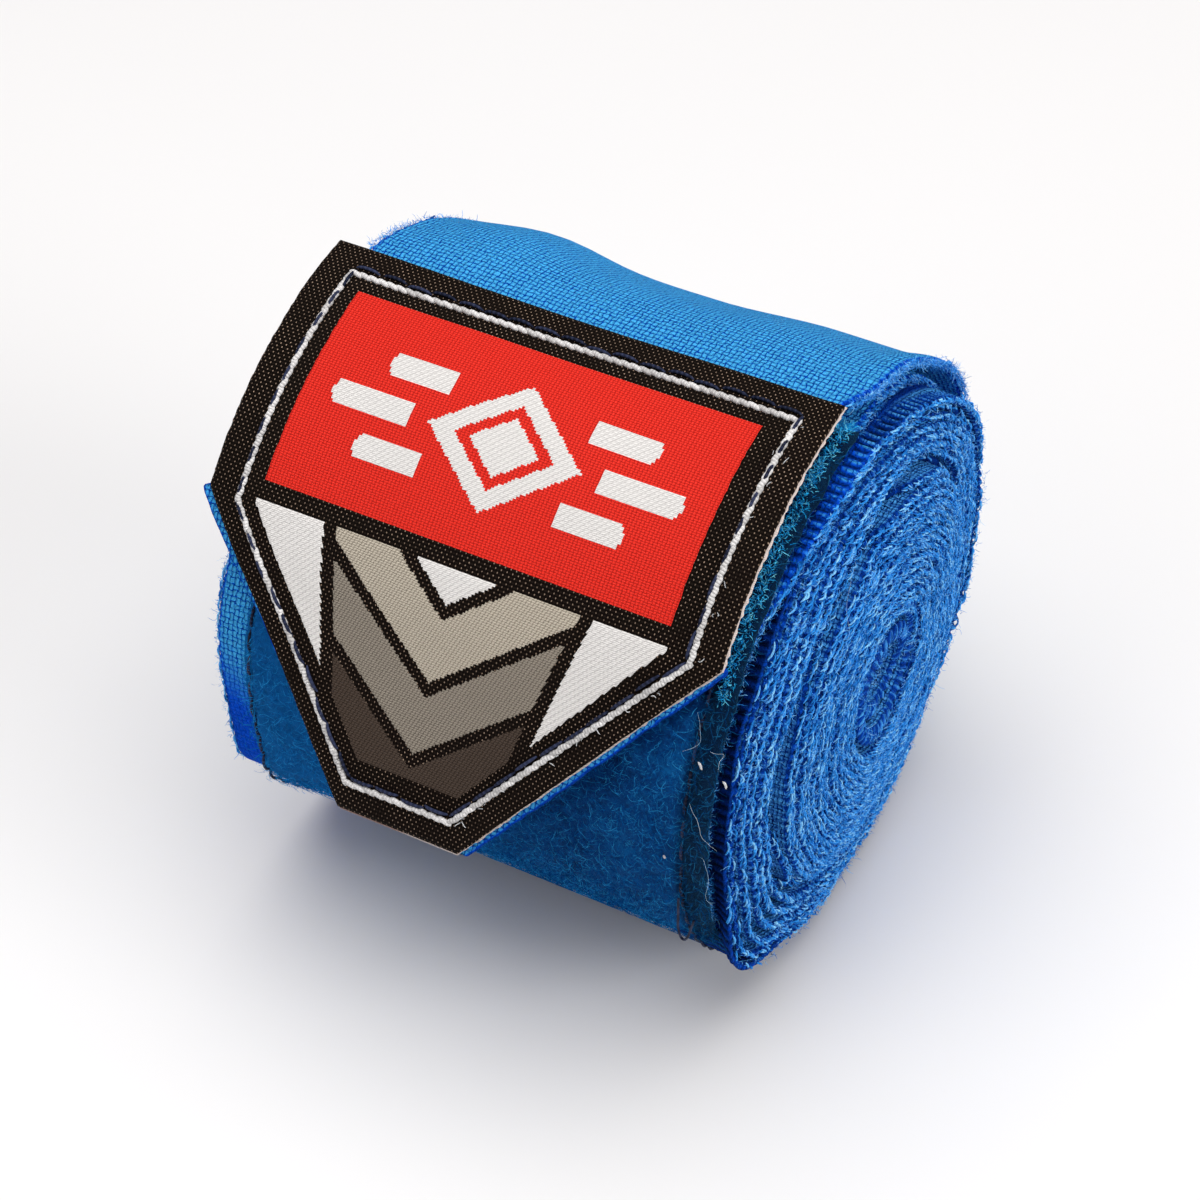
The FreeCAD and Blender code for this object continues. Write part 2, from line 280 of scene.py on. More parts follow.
def mesh_object(name, points, faces, cloth=None):
    """A mesh in metres. cloth is a position in the fabric, in millimetres."""
    mesh = bpy.data.meshes.new(name)
    points = np.asarray(points, float).reshape(-1, 3)
    faces = np.asarray(faces, np.int32)
    count, corners = faces.shape
    mesh.vertices.add(len(points))
    mesh.vertices.foreach_set("co", (points * MM).astype(np.float32).ravel())
    mesh.loops.add(count * corners)
    mesh.loops.foreach_set("vertex_index", faces.ravel())
    mesh.polygons.add(count)
    mesh.polygons.foreach_set("loop_start", np.arange(count, dtype=np.int32) * corners)
    mesh.polygons.foreach_set("use_smooth", np.full(count, True))
    mesh.update(calc_edges=True)
    if cloth is not None:
        flat = np.zeros((len(points), 3), np.float32)
        flat[:, :cloth.shape[-1]] = cloth.reshape(len(points), -1)
        layer = mesh.attributes.new("cloth", "FLOAT_VECTOR", "POINT")
        layer.data.foreach_set("vector", flat.ravel())
    obj = bpy.data.objects.new(name, mesh)
    bpy.context.collection.objects.link(obj)
    return obj


def grid_faces(rows, columns, closed=False, first=0):
    """Quads of a grid of points, rows by columns. closed joins the columns."""
    r = np.arange(rows - 1)[:, None]
    c = np.arange(columns if closed else columns - 1)[None, :]
    d = (c + 1) % columns
    quads = [r * columns + c, r * columns + d, (r + 1) * columns + d, (r + 1) * columns + c]
    return np.stack(quads, -1).reshape(-1, 4) + first


def cap_faces(ring, flip):
    """Quads across a closed ring of point numbers, folded at its middle."""
    count = len(ring)
    quads = [(ring[i], ring[i + 1], ring[-i - 2], ring[-i - 1]) for i in range(count // 2 - 1)]
    return [q[::-1] for q in quads] if flip else quads


def across(paths, hint):
    """Unit directions along each of many paths, and at right angles to it."""
    way = np.gradient(paths, axis=1)
    way /= np.linalg.norm(way, axis=2, keepdims=True) + 1e-12
    side = np.cross(way, hint)
    return way, side / (np.linalg.norm(side, axis=2, keepdims=True) + 1e-12)


def thread_mesh(name, points, tone, closed):
    """One mesh of many threads alike. points is (count, along, around, 3)."""
    count, length, around, _ = points.shape
    faces = grid_faces(length, around, closed)
    every = faces[None] + (np.arange(count) * length * around)[:, None, None]
    cloth = np.zeros(points.shape)
    cloth[..., 0] = tone[:, None, None]
    cloth[..., 1] = np.linspace(0, 1, length)[None, :, None]
    return mesh_object(name, points, every.reshape(-1, 4), cloth)


def tubes(name, paths, radius, sides=6, taper=0.0, tone=None):
    """Round threads. paths is (count, points, 3); taper thins the ends."""
    paths = np.asarray(paths, float)
    count, length, _ = paths.shape
    way, side = across(paths, np.array([0.31, 0.52, 0.79]))
    up = np.cross(side, way)
    size = radius * (1 - taper * np.linspace(-1, 1, length) ** 4)
    turn = np.arange(sides) * 2 * np.pi / sides
    ring = side[:, :, None] * np.cos(turn)[:, None] + up[:, :, None] * np.sin(turn)[:, None]
    points = paths[:, :, None] + ring * size[None, :, None, None]
    if tone is None:
        tone = np.random.RandomState(count).rand(count)
    return thread_mesh(name, points, tone, True)


def ribbons(name, paths, width, rng):
    """Flat hairs, for fuzz. paths is (count, points, 3)."""
    count, length, _ = paths.shape
    side = across(paths, rng.normal(size=(count, 1, 3)))[1]
    half = side * (width / 2 * (1 - 0.6 * np.linspace(0, 1, length) ** 3))[None, :, None]
    return thread_mesh(name, np.stack([paths - half, paths + half], 2), rng.rand(count), False)


def curly(roots, ways, lengths, curl, points, rng):
    """Hair paths that start along ways and wander by curl at each step."""
    path = [roots]
    way = ways / np.linalg.norm(ways, axis=1, keepdims=True)
    drift = rng.normal(size=roots.shape)
    for i in range(points - 1):
        drift = 0.6 * drift + rng.normal(size=roots.shape)
        way = way + curl * drift
        way /= np.linalg.norm(way, axis=1, keepdims=True)
        path.append(path[-1] + way * (lengths / (points - 1))[:, None])
    return np.stack(path, 1)


# ---------------------------------------------------------------- materials

class Shader:
    """A material's node tree, with short names for the nodes it needs."""

    def __init__(self, name):
        self.material = bpy.data.materials.new(name)
        self.material.use_nodes = True
        self.tree = self.material.node_tree
        self.shader = self.tree.nodes["Principled BSDF"]

    def node(self, kind, **settings):
        node = self.tree.nodes.new(kind)
        for key, value in settings.items():
            setattr(node, key, value)
        return node

    def feed(self, socket, value):
        if isinstance(value, bpy.types.NodeSocket):
            self.tree.links.new(value, socket)
        else:
            socket.default_value = value

    def math(self, operation, a, b=0.0, c=0.0):
        node = self.node("ShaderNodeMath", operation=operation)
        for socket, value in zip(node.inputs, (a, b, c)):
            self.feed(socket, value)
        return node.outputs[0]

    def times(self, a, b):
        return self.math("MULTIPLY", a, b)

    def scaled(self, value, by, plus):
        return self.math("MULTIPLY_ADD", value, by, plus)

    def clamped(self, value):
        return self.math("MINIMUM", self.math("MAXIMUM", value, 0.0), 1.0)

    def parts(self, vector):
        split = self.node("ShaderNodeSeparateXYZ")
        self.feed(split.inputs[0], vector)
        return split.outputs[0], split.outputs[1], split.outputs[2]

    def cloth(self):
        """The place in the fabric, in millimetres, as (vector, u, v, w); on the band's strips w holds
        painted shade.
        """
        vector = self.node("ShaderNodeAttribute", attribute_name="cloth").outputs["Vector"]
        return vector, *self.parts(vector)

    def noise(self, vector, scale, detail=3.0, rough=0.55):
        node = self.node("ShaderNodeTexNoise")
        self.feed(node.inputs["Vector"], vector)
        node.inputs["Scale"].default_value = scale
        node.inputs["Detail"].default_value = detail
        node.inputs["Roughness"].default_value = rough
        return node.outputs["Fac"]

    def local(self):
        """The position on the object, in metres."""
        return self.node("ShaderNodeTexCoord").outputs["Object"]

    def ramp(self, value, stops):
        node = self.node("ShaderNodeValToRGB")
        self.feed(node.inputs[0], value)
        ramp = node.color_ramp
        while len(ramp.elements) < len(stops):
            ramp.elements.new(0.5)
        for element, (place, colour) in zip(ramp.elements, stops):
            element.position = place
            element.color = (*colour, 1)
        return node.outputs[0]

    def mix(self, factor, a, b):
        node = self.node("ShaderNodeMix", data_type="RGBA")
        self.feed(node.inputs[0], factor)
        for socket, value in ((node.inputs[6], a), (node.inputs[7], b)):
            if isinstance(value, tuple):
                value = (*value, 1)
            self.feed(socket, value)
        return node.outputs[2]

    def bump(self, height, distance, strength=1.0):
        node = self.node("ShaderNodeBump")
        node.inputs["Strength"].default_value = strength
        node.inputs["Distance"].default_value = distance * MM
        self.feed(node.inputs["Height"], height)
        self.feed(self.shader.inputs["Normal"], node.outputs[0])

    def finish(self, colour, rough, sheen=0.0, tint=(1, 1, 1), specular=0.3):
        inputs = self.shader.inputs
        self.feed(inputs["Base Color"], colour)
        self.feed(inputs["Roughness"], rough)
        inputs["Specular IOR Level"].default_value = specular
        inputs["Sheen Weight"].default_value = sheen
        inputs["Sheen Roughness"].default_value = 0.5
        inputs["Sheen Tint"].default_value = (*tint, 1)
        return self.material


def plain_weave(m, u, v, pitch_u, pitch_v):
    """Height, 0 to 1, of threads that pass over and under each other."""
    across = m.math("SINE", m.times(u, math.pi / pitch_u))
    along = m.math("SINE", m.times(v, math.pi / pitch_v))
    check = m.times(across, along)
    over = m.clamped(m.scaled(check, 2.2, 0.5))
    warp = m.times(m.math("ABSOLUTE", across), over)
    weft = m.times(m.math("ABSOLUTE", along), m.math("SUBTRACT", 1.0, over))
    return m.math("ADD", warp, weft)


def band_material(name, deep, mid, high, weave=1.0, pits=0.0, spread=0.26, pitch=(0.40, 0.44)):
    """Plain-woven elastic. w is painted shade, 1 in the open and 0 down between the threads."""
    m = Shader(name)
    vector, u, v, w = m.cloth()
    wobble = m.noise(vector, 0.9, 2.0)
    u = m.scaled(wobble, 0.5, u)
    v = m.scaled(m.noise(vector, 1.3, 2.0), 0.5, v)
    height = plain_weave(m, u, v, *pitch)
    fluff = m.noise(m.local(), 6500.0, 4.0, 0.7)
    height = m.scaled(fluff, 0.40, height)
    tone = m.scaled(height, 1.75, -0.66)
    tone = m.scaled(m.noise(vector, 0.16, 3.0), 0.30, tone)
    if pits:
        speckle = m.noise(m.local(), 2100.0, 2.0, 0.6)
        speckle = m.scaled(speckle, 5.0, -2.5)
        tone = m.scaled(speckle, pits, tone)
        height = m.scaled(speckle, pits, height)
    # Colour follows the weave's height: deep in the valleys and high on the crests, a painted shade and
    # painted highlight over the band's own blue.
    colour = m.ramp(tone, [(0.53 - spread, deep), (0.53, mid), (0.53 + spread, high)])
    # Painted shade colours, mixed in where w falls below 1.
    pit_shade = tuple(0.22 * c for c in deep)
    shaded = (0.0, 0.42 * mid[1], 0.85 * mid[2])
    dim = m.mix(m.clamped(m.times(w, 2.3)), pit_shade, shaded)
    colour = m.mix(m.clamped(m.scaled(w, 2.3, -1.0)), dim, colour)
    m.bump(height, 0.20 * weave, 1.0)
    return m.finish(colour, 0.9, 0.05, (0.1, 0.45, 1.0), 0.03)


def turn_to(m, x, start, end, share, colour, other):
    """A colour that turns to a share of another between two places in x."""
    edge = m.node("ShaderNodeMapRange", interpolation_type="SMOOTHSTEP")
    for socket, value in zip(edge.inputs, (x, start, end, 0.0, share)):
        m.feed(socket, value)
    return m.mix(edge.outputs[0], colour, other)


def panel_shades(m, x, colour, bright, share, dark_share):
    """The loop panel is brighter towards its left, and its cut right edge is dark."""
    colour = turn_to(m, x, 14.0, PANEL_LOW[0], share, colour, bright)
    edge = PANEL_HIGH[0]
    return turn_to(m, x, edge - 0.8, edge + 1.0, dark_share, colour, (0.0005, 0.006, 0.03))


def fuzz_material(name, deep, mid, high, edged=False):
    """For hairs: each has its own tone."""
    m = Shader(name)
    u = m.cloth()[1]
    speckle = m.noise(m.local(), 3200.0, 3.0, 0.7)
    tone = m.scaled(speckle, 1.2, m.scaled(u, 0.7, -0.45))
    colour = m.ramp(tone, [(0.0, deep), (0.5, mid), (1.0, high)])
    if edged:
        x = m.times(m.parts(m.local())[0], 1 / MM)
        colour = panel_shades(m, x, colour, (0.02, 0.38, 0.90), 0.3, 0.6)
    m.bump(speckle, 0.14, 0.8)
    return m.finish(colour, 0.9, 0.05, (0.1, 0.5, 1.0), 0.02)


def pile_material():
    m = Shader("loop_pile")
    place = m.local()
    broad = m.noise(place, 220.0, 4.0, 0.7)
    fine = m.noise(place, 2200.0, 5.0, 0.8)
    tone = m.scaled(fine, 0.55, m.times(broad, 0.55))
    stops = [(0.36, (0.0005, 0.010, 0.06)), (0.56, (0.002, 0.06, 0.26)), (0.78, (0.005, 0.19, 0.56))]
    colour = m.ramp(tone, stops)
    colour = panel_shades(m, m.cloth()[1], colour, (0.005, 0.20, 0.62), 0.45, 0.95)
    m.bump(m.scaled(fine, 0.7, broad), 0.6, 1.0)
    return m.finish(colour, 0.95, 0.15, (0.1, 0.6, 1.0), 0.05)


def label_material(name, low, high, pitch_u, pitch_v, slant=0.0, gloss=0.5, relief=0.08):
    """A field of the woven label: fine ribs with a satin shine."""
    m = Shader(name)
    vector, u, v = m.cloth()[:3]
    u = m.scaled(v, slant, u)
    v = m.scaled(m.noise(vector, 1.1, 2.0), 0.12, v)
    height = plain_weave(m, u, v, pitch_u, pitch_v)
    grain = m.noise(vector, 5.0, 3.0, 0.6)
    tone = m.scaled(grain, 0.35, m.times(height, 0.7))
    colour = m.ramp(tone, [(0.22, low), (0.72, high)])
    m.bump(height, relief, 0.9)
    return m.finish(colour, gloss, 0.0, (1, 1, 1), 0.12)


def black_material():
    """The label's ground: dark threads with pale warp specks between them."""
    m = Shader("label_black")
    vector, u, v = m.cloth()[:3]
    u2 = m.scaled(m.noise(vector, 0.8, 2.0), 0.15, u)
    height = plain_weave(m, u2, v, 0.28, 0.34)
    peak = m.times(m.math("SINE", m.times(u2, math.pi / 0.28)),
                  m.math("SINE", m.times(v, math.pi / 0.34)))
    speck = m.math("GREATER_THAN", peak, 0.80)
    spread = m.noise(vector, 0.35, 3.0)
    speck = m.times(speck, m.scaled(spread, 1.6, -0.35))
    speck = m.math("MAXIMUM", speck, 0.0)
    ground = m.ramp(height, [(0.1, (0.0015, 0.0008, 0.0005)), (0.9, (0.011, 0.007, 0.005))])
    colour = m.mix(speck, ground, (0.50, 0.36, 0.26))
    m.bump(height, 0.09, 0.9)
    return m.finish(colour, 0.75, 0.0, (1, 0.9, 0.8), 0.04)


def thread_material(name, low, high):
    m = Shader(name)
    u, v = m.cloth()[1:3]
    ply = m.math("SINE", m.scaled(v, 34.0, m.times(u, 20.0)))
    tone = m.scaled(ply, 0.3, u)
    colour = m.ramp(tone, [(0.0, low), (1.0, high)])
    m.bump(ply, 0.05, 0.8)
    return m.finish(colour, 0.6, 0.0, (1, 1, 1), 0.15)


def hook_material():
    m = Shader("hook_tape")
    vector, u, v = m.cloth()[:3]
    height = plain_weave(m, u, v, 0.5, 0.3)
    grain = m.noise(vector, 3.0, 3.0)
    tone = m.scaled(grain, 0.4, m.times(height, 0.5))
    colour = m.ramp(tone, [(0.2, (0.0, 0.05, 0.38)), (0.8, (0.01, 0.19, 0.78))])
    m.bump(height, 0.1, 0.8)
    return m.finish(colour, 0.5, 0.1, (0.5, 0.7, 1), 0.4)


BAND = band_material("band_fabric", (0.0002, 0.060, 0.48), (0.002, 0.225, 1.0), (0.070, 0.50, 1.0),
                     1.8, 0.26, 0.17, (0.50, 0.55))
# coil_fabric: the band's blue, darkened as painted shade for the end face's base, which shows in the pits
# between the yarn strands.
COIL = band_material("coil_fabric", (0.0003, 0.014, 0.12), (0.006, 0.13, 0.52), (0.09, 0.46, 1.0),
                     1.2, 0.45)
FUZZ = fuzz_material("band_fuzz", (0.003, 0.10, 0.42), (0.045, 0.33, 0.88), (0.34, 0.72, 1.0))
PILE = pile_material()
PILE_FUZZ = fuzz_material("pile_fuzz", (0.001, 0.025, 0.13), (0.003, 0.13, 0.44),
                          (0.04, 0.44, 0.86), True)
# pile_fringe: a much brighter copy of the pile hairs' colour for the hairs beside the label's edge,
# painted light on hairs that sit in the label's shade.
FRINGE_LIT = fuzz_material("pile_fringe", (0.004, 0.14, 0.55), (0.020, 0.55, 1.0), (0.30, 0.92, 1.0))
LINT = fuzz_material("pale_lint", (0.30, 0.55, 0.80), (0.55, 0.78, 0.95), (0.85, 0.95, 1.0))
YARN = fuzz_material("band_yarn", (0.001, 0.065, 0.33), (0.032, 0.32, 0.88), (0.34, 0.76, 1.0))
HOOKS = hook_material()
BLACK = black_material()
RED = label_material("label_red", (0.36, 0.002, 0.001), (0.86, 0.030, 0.016), 0.36, 0.24, 0.0, 0.5)
WHITE = label_material("label_white", (0.60, 0.58, 0.56), (0.90, 0.88, 0.85), 0.6, 0.17, 0.9, 0.42)
SAND = label_material("label_sand", (0.17, 0.14, 0.10), (0.58, 0.52, 0.42), 0.36, 0.22, 0.4, 0.45)
GREY = label_material("label_grey", (0.075, 0.06, 0.045), (0.33, 0.29, 0.235), 0.36, 0.22, 0.4, 0.5)
BRONZE = label_material("label_bronze", (0.012, 0.006, 0.003), (0.075, 0.052, 0.038), 0.36, 0.22, 0.4, 0.5)
NAVY = thread_material("thread_navy", (0.004, 0.007, 0.022), (0.032, 0.042, 0.095))
PALE = thread_material("thread_pale", (0.50, 0.52, 0.54), (0.84, 0.86, 0.88))
LINE = thread_material("woven_line", (0.52, 0.51, 0.50), (0.86, 0.85, 0.84))
BACK = thread_material("label_backing", (0.50, 0.33, 0.28), (0.88, 0.76, 0.70))
TAPE = band_material("loop_tape", (0.002, 0.05, 0.22), (0.01, 0.13, 0.42), (0.06, 0.28, 0.66))


def dress(obj, material):
    obj.data.materials.append(material)
    return obj


# ---------------------------------------------------------------- the band

COIL_PATH = Section(coil_arcs())
COIL_RIM_S = COIL_PATH.length - 2 * math.pi * RIM_R
CORE_ARCS = coil_arcs()[:2 * CORE_TURNS - 1]
STRAIGHT = 18.5
OUTER = Section(outer_arcs(), STRAIGHT + TAB_RIM + 1)
SECOND_TURN = 2 * math.pi * (FRONT_R - PITCH / 2)
TAIL_S = OUTER.find(TAIL_START, SECOND_TURN + 60)
HINGES = [TAIL_S + TAIL_SEGMENT * i for i in range(4)]
PANEL_S0 = OUTER.find(PANEL_TOP, SECOND_TURN - 12)
PANEL_S1 = OUTER.find(PANEL_BOTTOM % 360, PANEL_S0)


def label_top_s():
    """Where the label's top edge lies: just past the tail's shoulder."""
    arcs = outer_arcs()
    lengths = [arc[2] * math.radians(arc[3] - arc[4]) for arc in arcs[4:6]]
    leave = BACK_R * math.radians(TAIL_START - LIFT_OFF)
    return TAIL_S + leave + sum(lengths) - TOP_SLACK, arcs[6][3] + 360


LABEL_S, JOIN_PHI = label_top_s()
OVER_END = LABEL_S + TOP_SLACK + TAB_R * math.radians(JOIN_PHI - TIP_LIFT_OFF)
ARC_PART = (OVER_END - LABEL_S) * (TAB_R + SKIN_N) / TAB_R
TIP_END = OVER_END + LABEL_H - ARC_PART


def s_of(v):
    """The length along the band under a point v down the label."""
    v = np.asarray(v, float)
    on_arc = LABEL_S + v * (OVER_END - LABEL_S) / ARC_PART
    return np.where(v < ARC_PART, on_arc, OVER_END + v - ARC_PART)


def v_of(s):
    """The distance down the label over the point at length s of the band."""
    s = np.asarray(s, float)
    on_arc = (s - LABEL_S) * ARC_PART / (OVER_END - LABEL_S)
    return np.where(s < OVER_END, on_arc, ARC_PART + s - OVER_END)


def shield_half(v, grow=0.0):
    """Half the label's width at v, and a margin."""
    f = np.clip((v - LABEL_SIDE) / (LABEL_H - LABEL_SIDE), 0, 1.2)
    return LABEL_W / 2 + grow + f * (LABEL_TIP_W - LABEL_W) / 2


def phi_on_front(s):
    """The angle on the last turn, from where the loop panel starts."""
    return PANEL_TOP - np.degrees((s - PANEL_S0) / FRONT_R)


def belly(s, x):
    """The loop panel's lower left stands off and turns in with a corner."""
    phi = phi_on_front(s)
    hang = step(32, 14, phi) * step(-48, -20, phi)
    corner = 0.8 * np.exp(-((phi + 20) / 7.0) ** 2)
    return (0.75 * hang + corner) * step(BAND_X - 10, BAND_X - 23, x)


def billow(s, x):
    """How far the loose outer turn stands off, shared by all its layers."""
    rear = step(LABEL_S - 46, LABEL_S - 22, s) * (1 - step(LABEL_S - 12, LABEL_S + 4, s))
    bump = np.exp(-((x - BAND_X + 16) / 7.0) ** 2)
    dip = np.exp(-((x - BAND_X + 1) / 6.0) ** 2)
    right = step(BAND_X + 2, BAND_X + 14, x)
    lip = step(BAND_X + 21, BAND_X + 24, x)
    lift = rear * (1.30 * bump - 0.05 * dip + 0.72 * right + 0.40 * lip) + belly(s, x)
    loose = step(LABEL_S - 60, LABEL_S - 10, s)
    lift = lift + loose * 0.18 * noise(s / 9.0, x / 11.0, 3)
    corner = (1 - step(LABEL_S - 2, LABEL_S + 12, s)) * step(LABEL_S - 9, LABEL_S - 1, s)
    return lift + 0.5 * corner * step(12, 25, BAND_X - x)


def outer_edges(s):
    """The band's left and right edge in x, with a hand-wound wander."""
    slide = (COIL_HIGH[0] - BAND_R - 1.1) * (1 - step(1.0, 21.0, s))
    tuck = 1.4 * step(14, 26, s) * (1 - step(158, 182, s))
    left = slide + BAND_L + 0.2 + 0.30 * noise(s / 14.0, 0.0, 5) + 0.10 * noise(s / 2.3, 0.0, 6)
    right = slide - tuck + BAND_R - 0.2 + 0.30 * noise(s / 16.0, 0.0, 7) + 0.10 * noise(s / 2.1, 0.0, 8)
    phi = phi_on_front(s)
    left = left - 1.1 * step(60, 20, phi) * step(-90, -50, phi)
    right = right - 0.6 * step(96, 84, phi) * step(-110, -60, phi)
    v = v_of(s)
    taper = step(LABEL_SIDE - 1.5, LABEL_SIDE + 0.5, v)
    right = right + step(-5.0, 0.5, v) * (LABEL_HIGH[0] - 0.6 - right)
    fray = 0.12 * noise(s / 0.7, 0.0, 17) * taper
    more = 0.9 * (1 - step(LABEL_SIDE + 3, LABEL_SIDE + 14, v))
    left = left + taper * (LABEL_X - shield_half(v, TAB_RIM + more) + fray - left)
    more = 0.25 * step(LABEL_SIDE, LABEL_SIDE + 3, v)
    right = right + taper * (LABEL_X + shield_half(v, TAB_RIM + more) + fray - right)
    return left, right, 1 - taper


EDGE_STEPS = (0.25, 0.5, 0.75, 1.0, 1.3, 1.6, 1.9, 2.2, 2.6, 3.4)
ROUND = (90, 62, 32, 0, -32, -62, -90)


def profile(steps, middle):
    """The band's cross-section as (share of width, offset, height) points."""
    points = [(0, HALF_T + d, 1) for d in steps]
    points += [(f, 0, 1) for f in middle]
    points += [(1, -HALF_T - d, 1) for d in reversed(steps)]
    for a in ROUND:
        a = math.radians(a)
        points.append((1, HALF_T * (math.cos(a) - 1), math.sin(a)))
    below = steps[::4]
    points += [(1, -HALF_T - d, -1) for d in below]
    points += [(f, 0, -1) for f in middle[::-2]]
    points += [(0, HALF_T + d, -1) for d in reversed(below)]
    for a in ROUND:
        a = math.radians(a)
        points.append((0, HALF_T * (1 - math.cos(a)), -math.sin(a)))
    return np.array(points)


def knobs(s, seed):
    """The weft's turns along a selvage, 0 to 1, uneven as woven."""
    drift = s / KNOB_PITCH + 0.35 * noise(s / 4.0, 0.0, seed)
    return (0.5 + 0.5 * np.cos(2 * np.pi * drift)) * (0.8 + 0.2 * noise(s / 1.7, 0.0, seed + 1))


def strip(name, path, s, edges, shape, lift=None, rung=0.16, knob=0.30,
          caps=(False, False), swell=None, recess_shade=None, dim=None):
    """A length of band, closed in section, with its woven edges."""
    left, right, woven = edges
    f, off, high = shape.T[:, None, :]
    x = left[:, None] * (1 - f) + right[:, None] * f + off
    inner = np.minimum(x - left[:, None], right[:, None] - x)
    side = np.where(f > 0.5, 1.0, -1.0)
    ridge_r, ridge_l = knobs(s, 21)[:, None], knobs(s, 27)[:, None]
    ridge = np.where(side > 0, ridge_r, ridge_l) * woven[:, None]
    rim = 1 - step(0.0, 0.5, inner)
    x = x + side * rim * (knob * (ridge - 0.4) * (1 - 0.5 * np.abs(high)))
    reach = step(0.1, 0.5, inner) * (1 - step(RUNG_REACH - 0.5, RUNG_REACH, inner))
    rung = np.broadcast_to(rung, s.shape)[:, None]
    n = high * HALF_T + np.where(high > 0.9, rung * (ridge - 0.8) * reach, 0)
    if swell is not None:
        n = n * (1 + swell(s)[:, None] * (1 - step(1.5, 5.0, inner)))
    n = n + 0.10 * rim * noise(s[:, None] / 1.3, side * 3.0, 9)
    if lift is not None:
        n = n + lift(s[:, None], x)
    y, z = path.at(s[:, None] + 0 * n, n)
    points = np.stack([x + 0 * n, y, z], -1)
    rows, columns = n.shape
    faces = grid_faces(rows, columns, closed=True)
    ends = []
    for cap, row, flip in ((caps[0], 0, False), (caps[1], rows - 1, True)):
        if cap:
            ends += cap_faces([row * columns + i for i in range(columns)], flip)
    if ends:
        faces = np.concatenate([faces, np.array(ends)])
    # Painted shade, kept as cloth's third value: darker between the knobs and rungs and round the rims,
    # darker still under the outer turn's lip, in recesses and where dim is below 1.
    shade = 1 - (1 - ridge) * (reach * np.minimum(1.0, 2.6 * rung) + 0.75 * rim)
    shade = shade - 0.55 * rim * np.abs(high) ** 2
    under = (rung > 0.2) * (high > 0.9) * (f > 0.5)
    shade = shade * (1 - 0.8 * under * step(BAND_R + 0.4, BAND_R - 0.9, x))
    # Painted shade on the right rim in recesses.
    if recess_shade is not None:
        shade = shade * (1 - 0.9 * recess_shade[:, None] * (side > 0) * (1 - step(0.3, 1.2, inner)))
    if dim is not None:
        shade = shade * dim(s[:, None], x)
    # cloth: x and s in millimetres, then the painted shade.
    cloth = np.stack([x + 0 * n, s[:, None] + 0 * n, np.clip(shade, 0, 1) + 0 * n], -1)
    return mesh_object(name, points, faces, cloth)


MIDDLE = np.linspace(0.12, 0.88, 20)
FINE = profile(EDGE_STEPS, list(MIDDLE))
COARSE = profile((0.3, 0.9, 1.6, 2.4), [])


def margin_shade(s, x):
    """The margin left of the loop panel lies low on the front, in the tab's shade."""
    phi = phi_on_front(s)
    return 1 - 0.60 * step(PILE_L + 1.0, PILE_L - 0.2, x) * step(16, -10, phi) * step(-110, -80, phi)


def outer_piece(name, s0, s1, caps=(False, False)):
    count = max(4, int(round((s1 - s0) / 0.24)))
    s = np.linspace(s0, s1, count + 1)
    rung = 0.06 + 0.32 * (1 - step(11, 19, s))
    # Painted shade on the right rim where it lies recessed: on the inner turn's front and beside the loop
    # panel.
    recess_shade = step(16, 24, s) * step(75, 68, s)
    recess_shade = recess_shade + step(PANEL_S0 + 1, PANEL_S0 + 5, s) * step(PANEL_S1, PANEL_S1 - 6, s)
    obj = strip(name, OUTER, s, outer_edges(s), FINE, billow, rung, caps=caps, recess_shade=recess_shade,
                dim=margin_shade)
    return dress(obj, BAND)


def bend(obj):
    """Bakes obj's placement into its mesh."""
    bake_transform(obj)


def on_tab(obj, *nodes):
    """obj lies on the tab, its placement baked in, and stands for the CAD nodes, which are hidden."""
    bend(obj)
    if nodes:
        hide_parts(*nodes)


def make_outer_band():
    half = TAIL_SEGMENT / 2
    turn = outer_piece("outer_turn", 0, HINGES[0] - half, caps=(True, False))
    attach(turn, "roll")
    last = HINGES[0] - half
    rows = [(1, 0, 24), (1, 72, PANEL_S0 + 3), (1, PANEL_S1 - 2, last), (-1, 0, last)]
    for i, (side, start, end) in enumerate(rows):
        yarn = edge_strands("outer_yarn_%d" % (i + 1), OUTER_BAND, start, end, side)
        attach(yarn, "roll")
    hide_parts("wrap_band_outer")
    for i, hinge in enumerate(HINGES):
        start = hinge - half
        last = hinge + half if i < 3 else LABEL_S + TAB_START
        end = min(last, LABEL_S - 1)
        tail = "tail_%d_" % (i + 1)
        pieces = [outer_piece(tail + "cloth", start, last)]
        for side, hand, count in ((1, "r", 420), (-1, "l", 300)):
            pieces.append(edge_strands(tail + "yarn_" + hand, OUTER_BAND, start, end, side))
            pieces.append(edge_hairs(tail + "fuzz_" + hand, OUTER_BAND, (start, end), count,
                                     35 + i, side, 0.45))
        for obj in pieces:
            bend(obj)
        if i < 3:
            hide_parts("tail_band_%d" % (i + 1))
    tab = outer_piece("tab_cloth", LABEL_S + TAB_START, TIP_END + TIP_TRIM, caps=(True, True))
    on_tab(tab, "tab_band_upper", "tab_band_lower")


def dome(r):
    """How far each turn of the coil stands out past the coil's rim."""
    radii = [0, 2.0, 4.5, 10, 14, 17.6, 19.4, 20.1, 20.8, 21.4, 22.5, 24.9, 25.4, 26.1, 26.4, 28]
    stand = [0.3, 1.2, 2.2, 2.1, 1.8, 1.5, 1.0, -0.9, -0.9, 0.1, 0.3, 0.1, -0.35, -0.35, 0.25, 0.25]
    return np.interp(r, radii, stand)


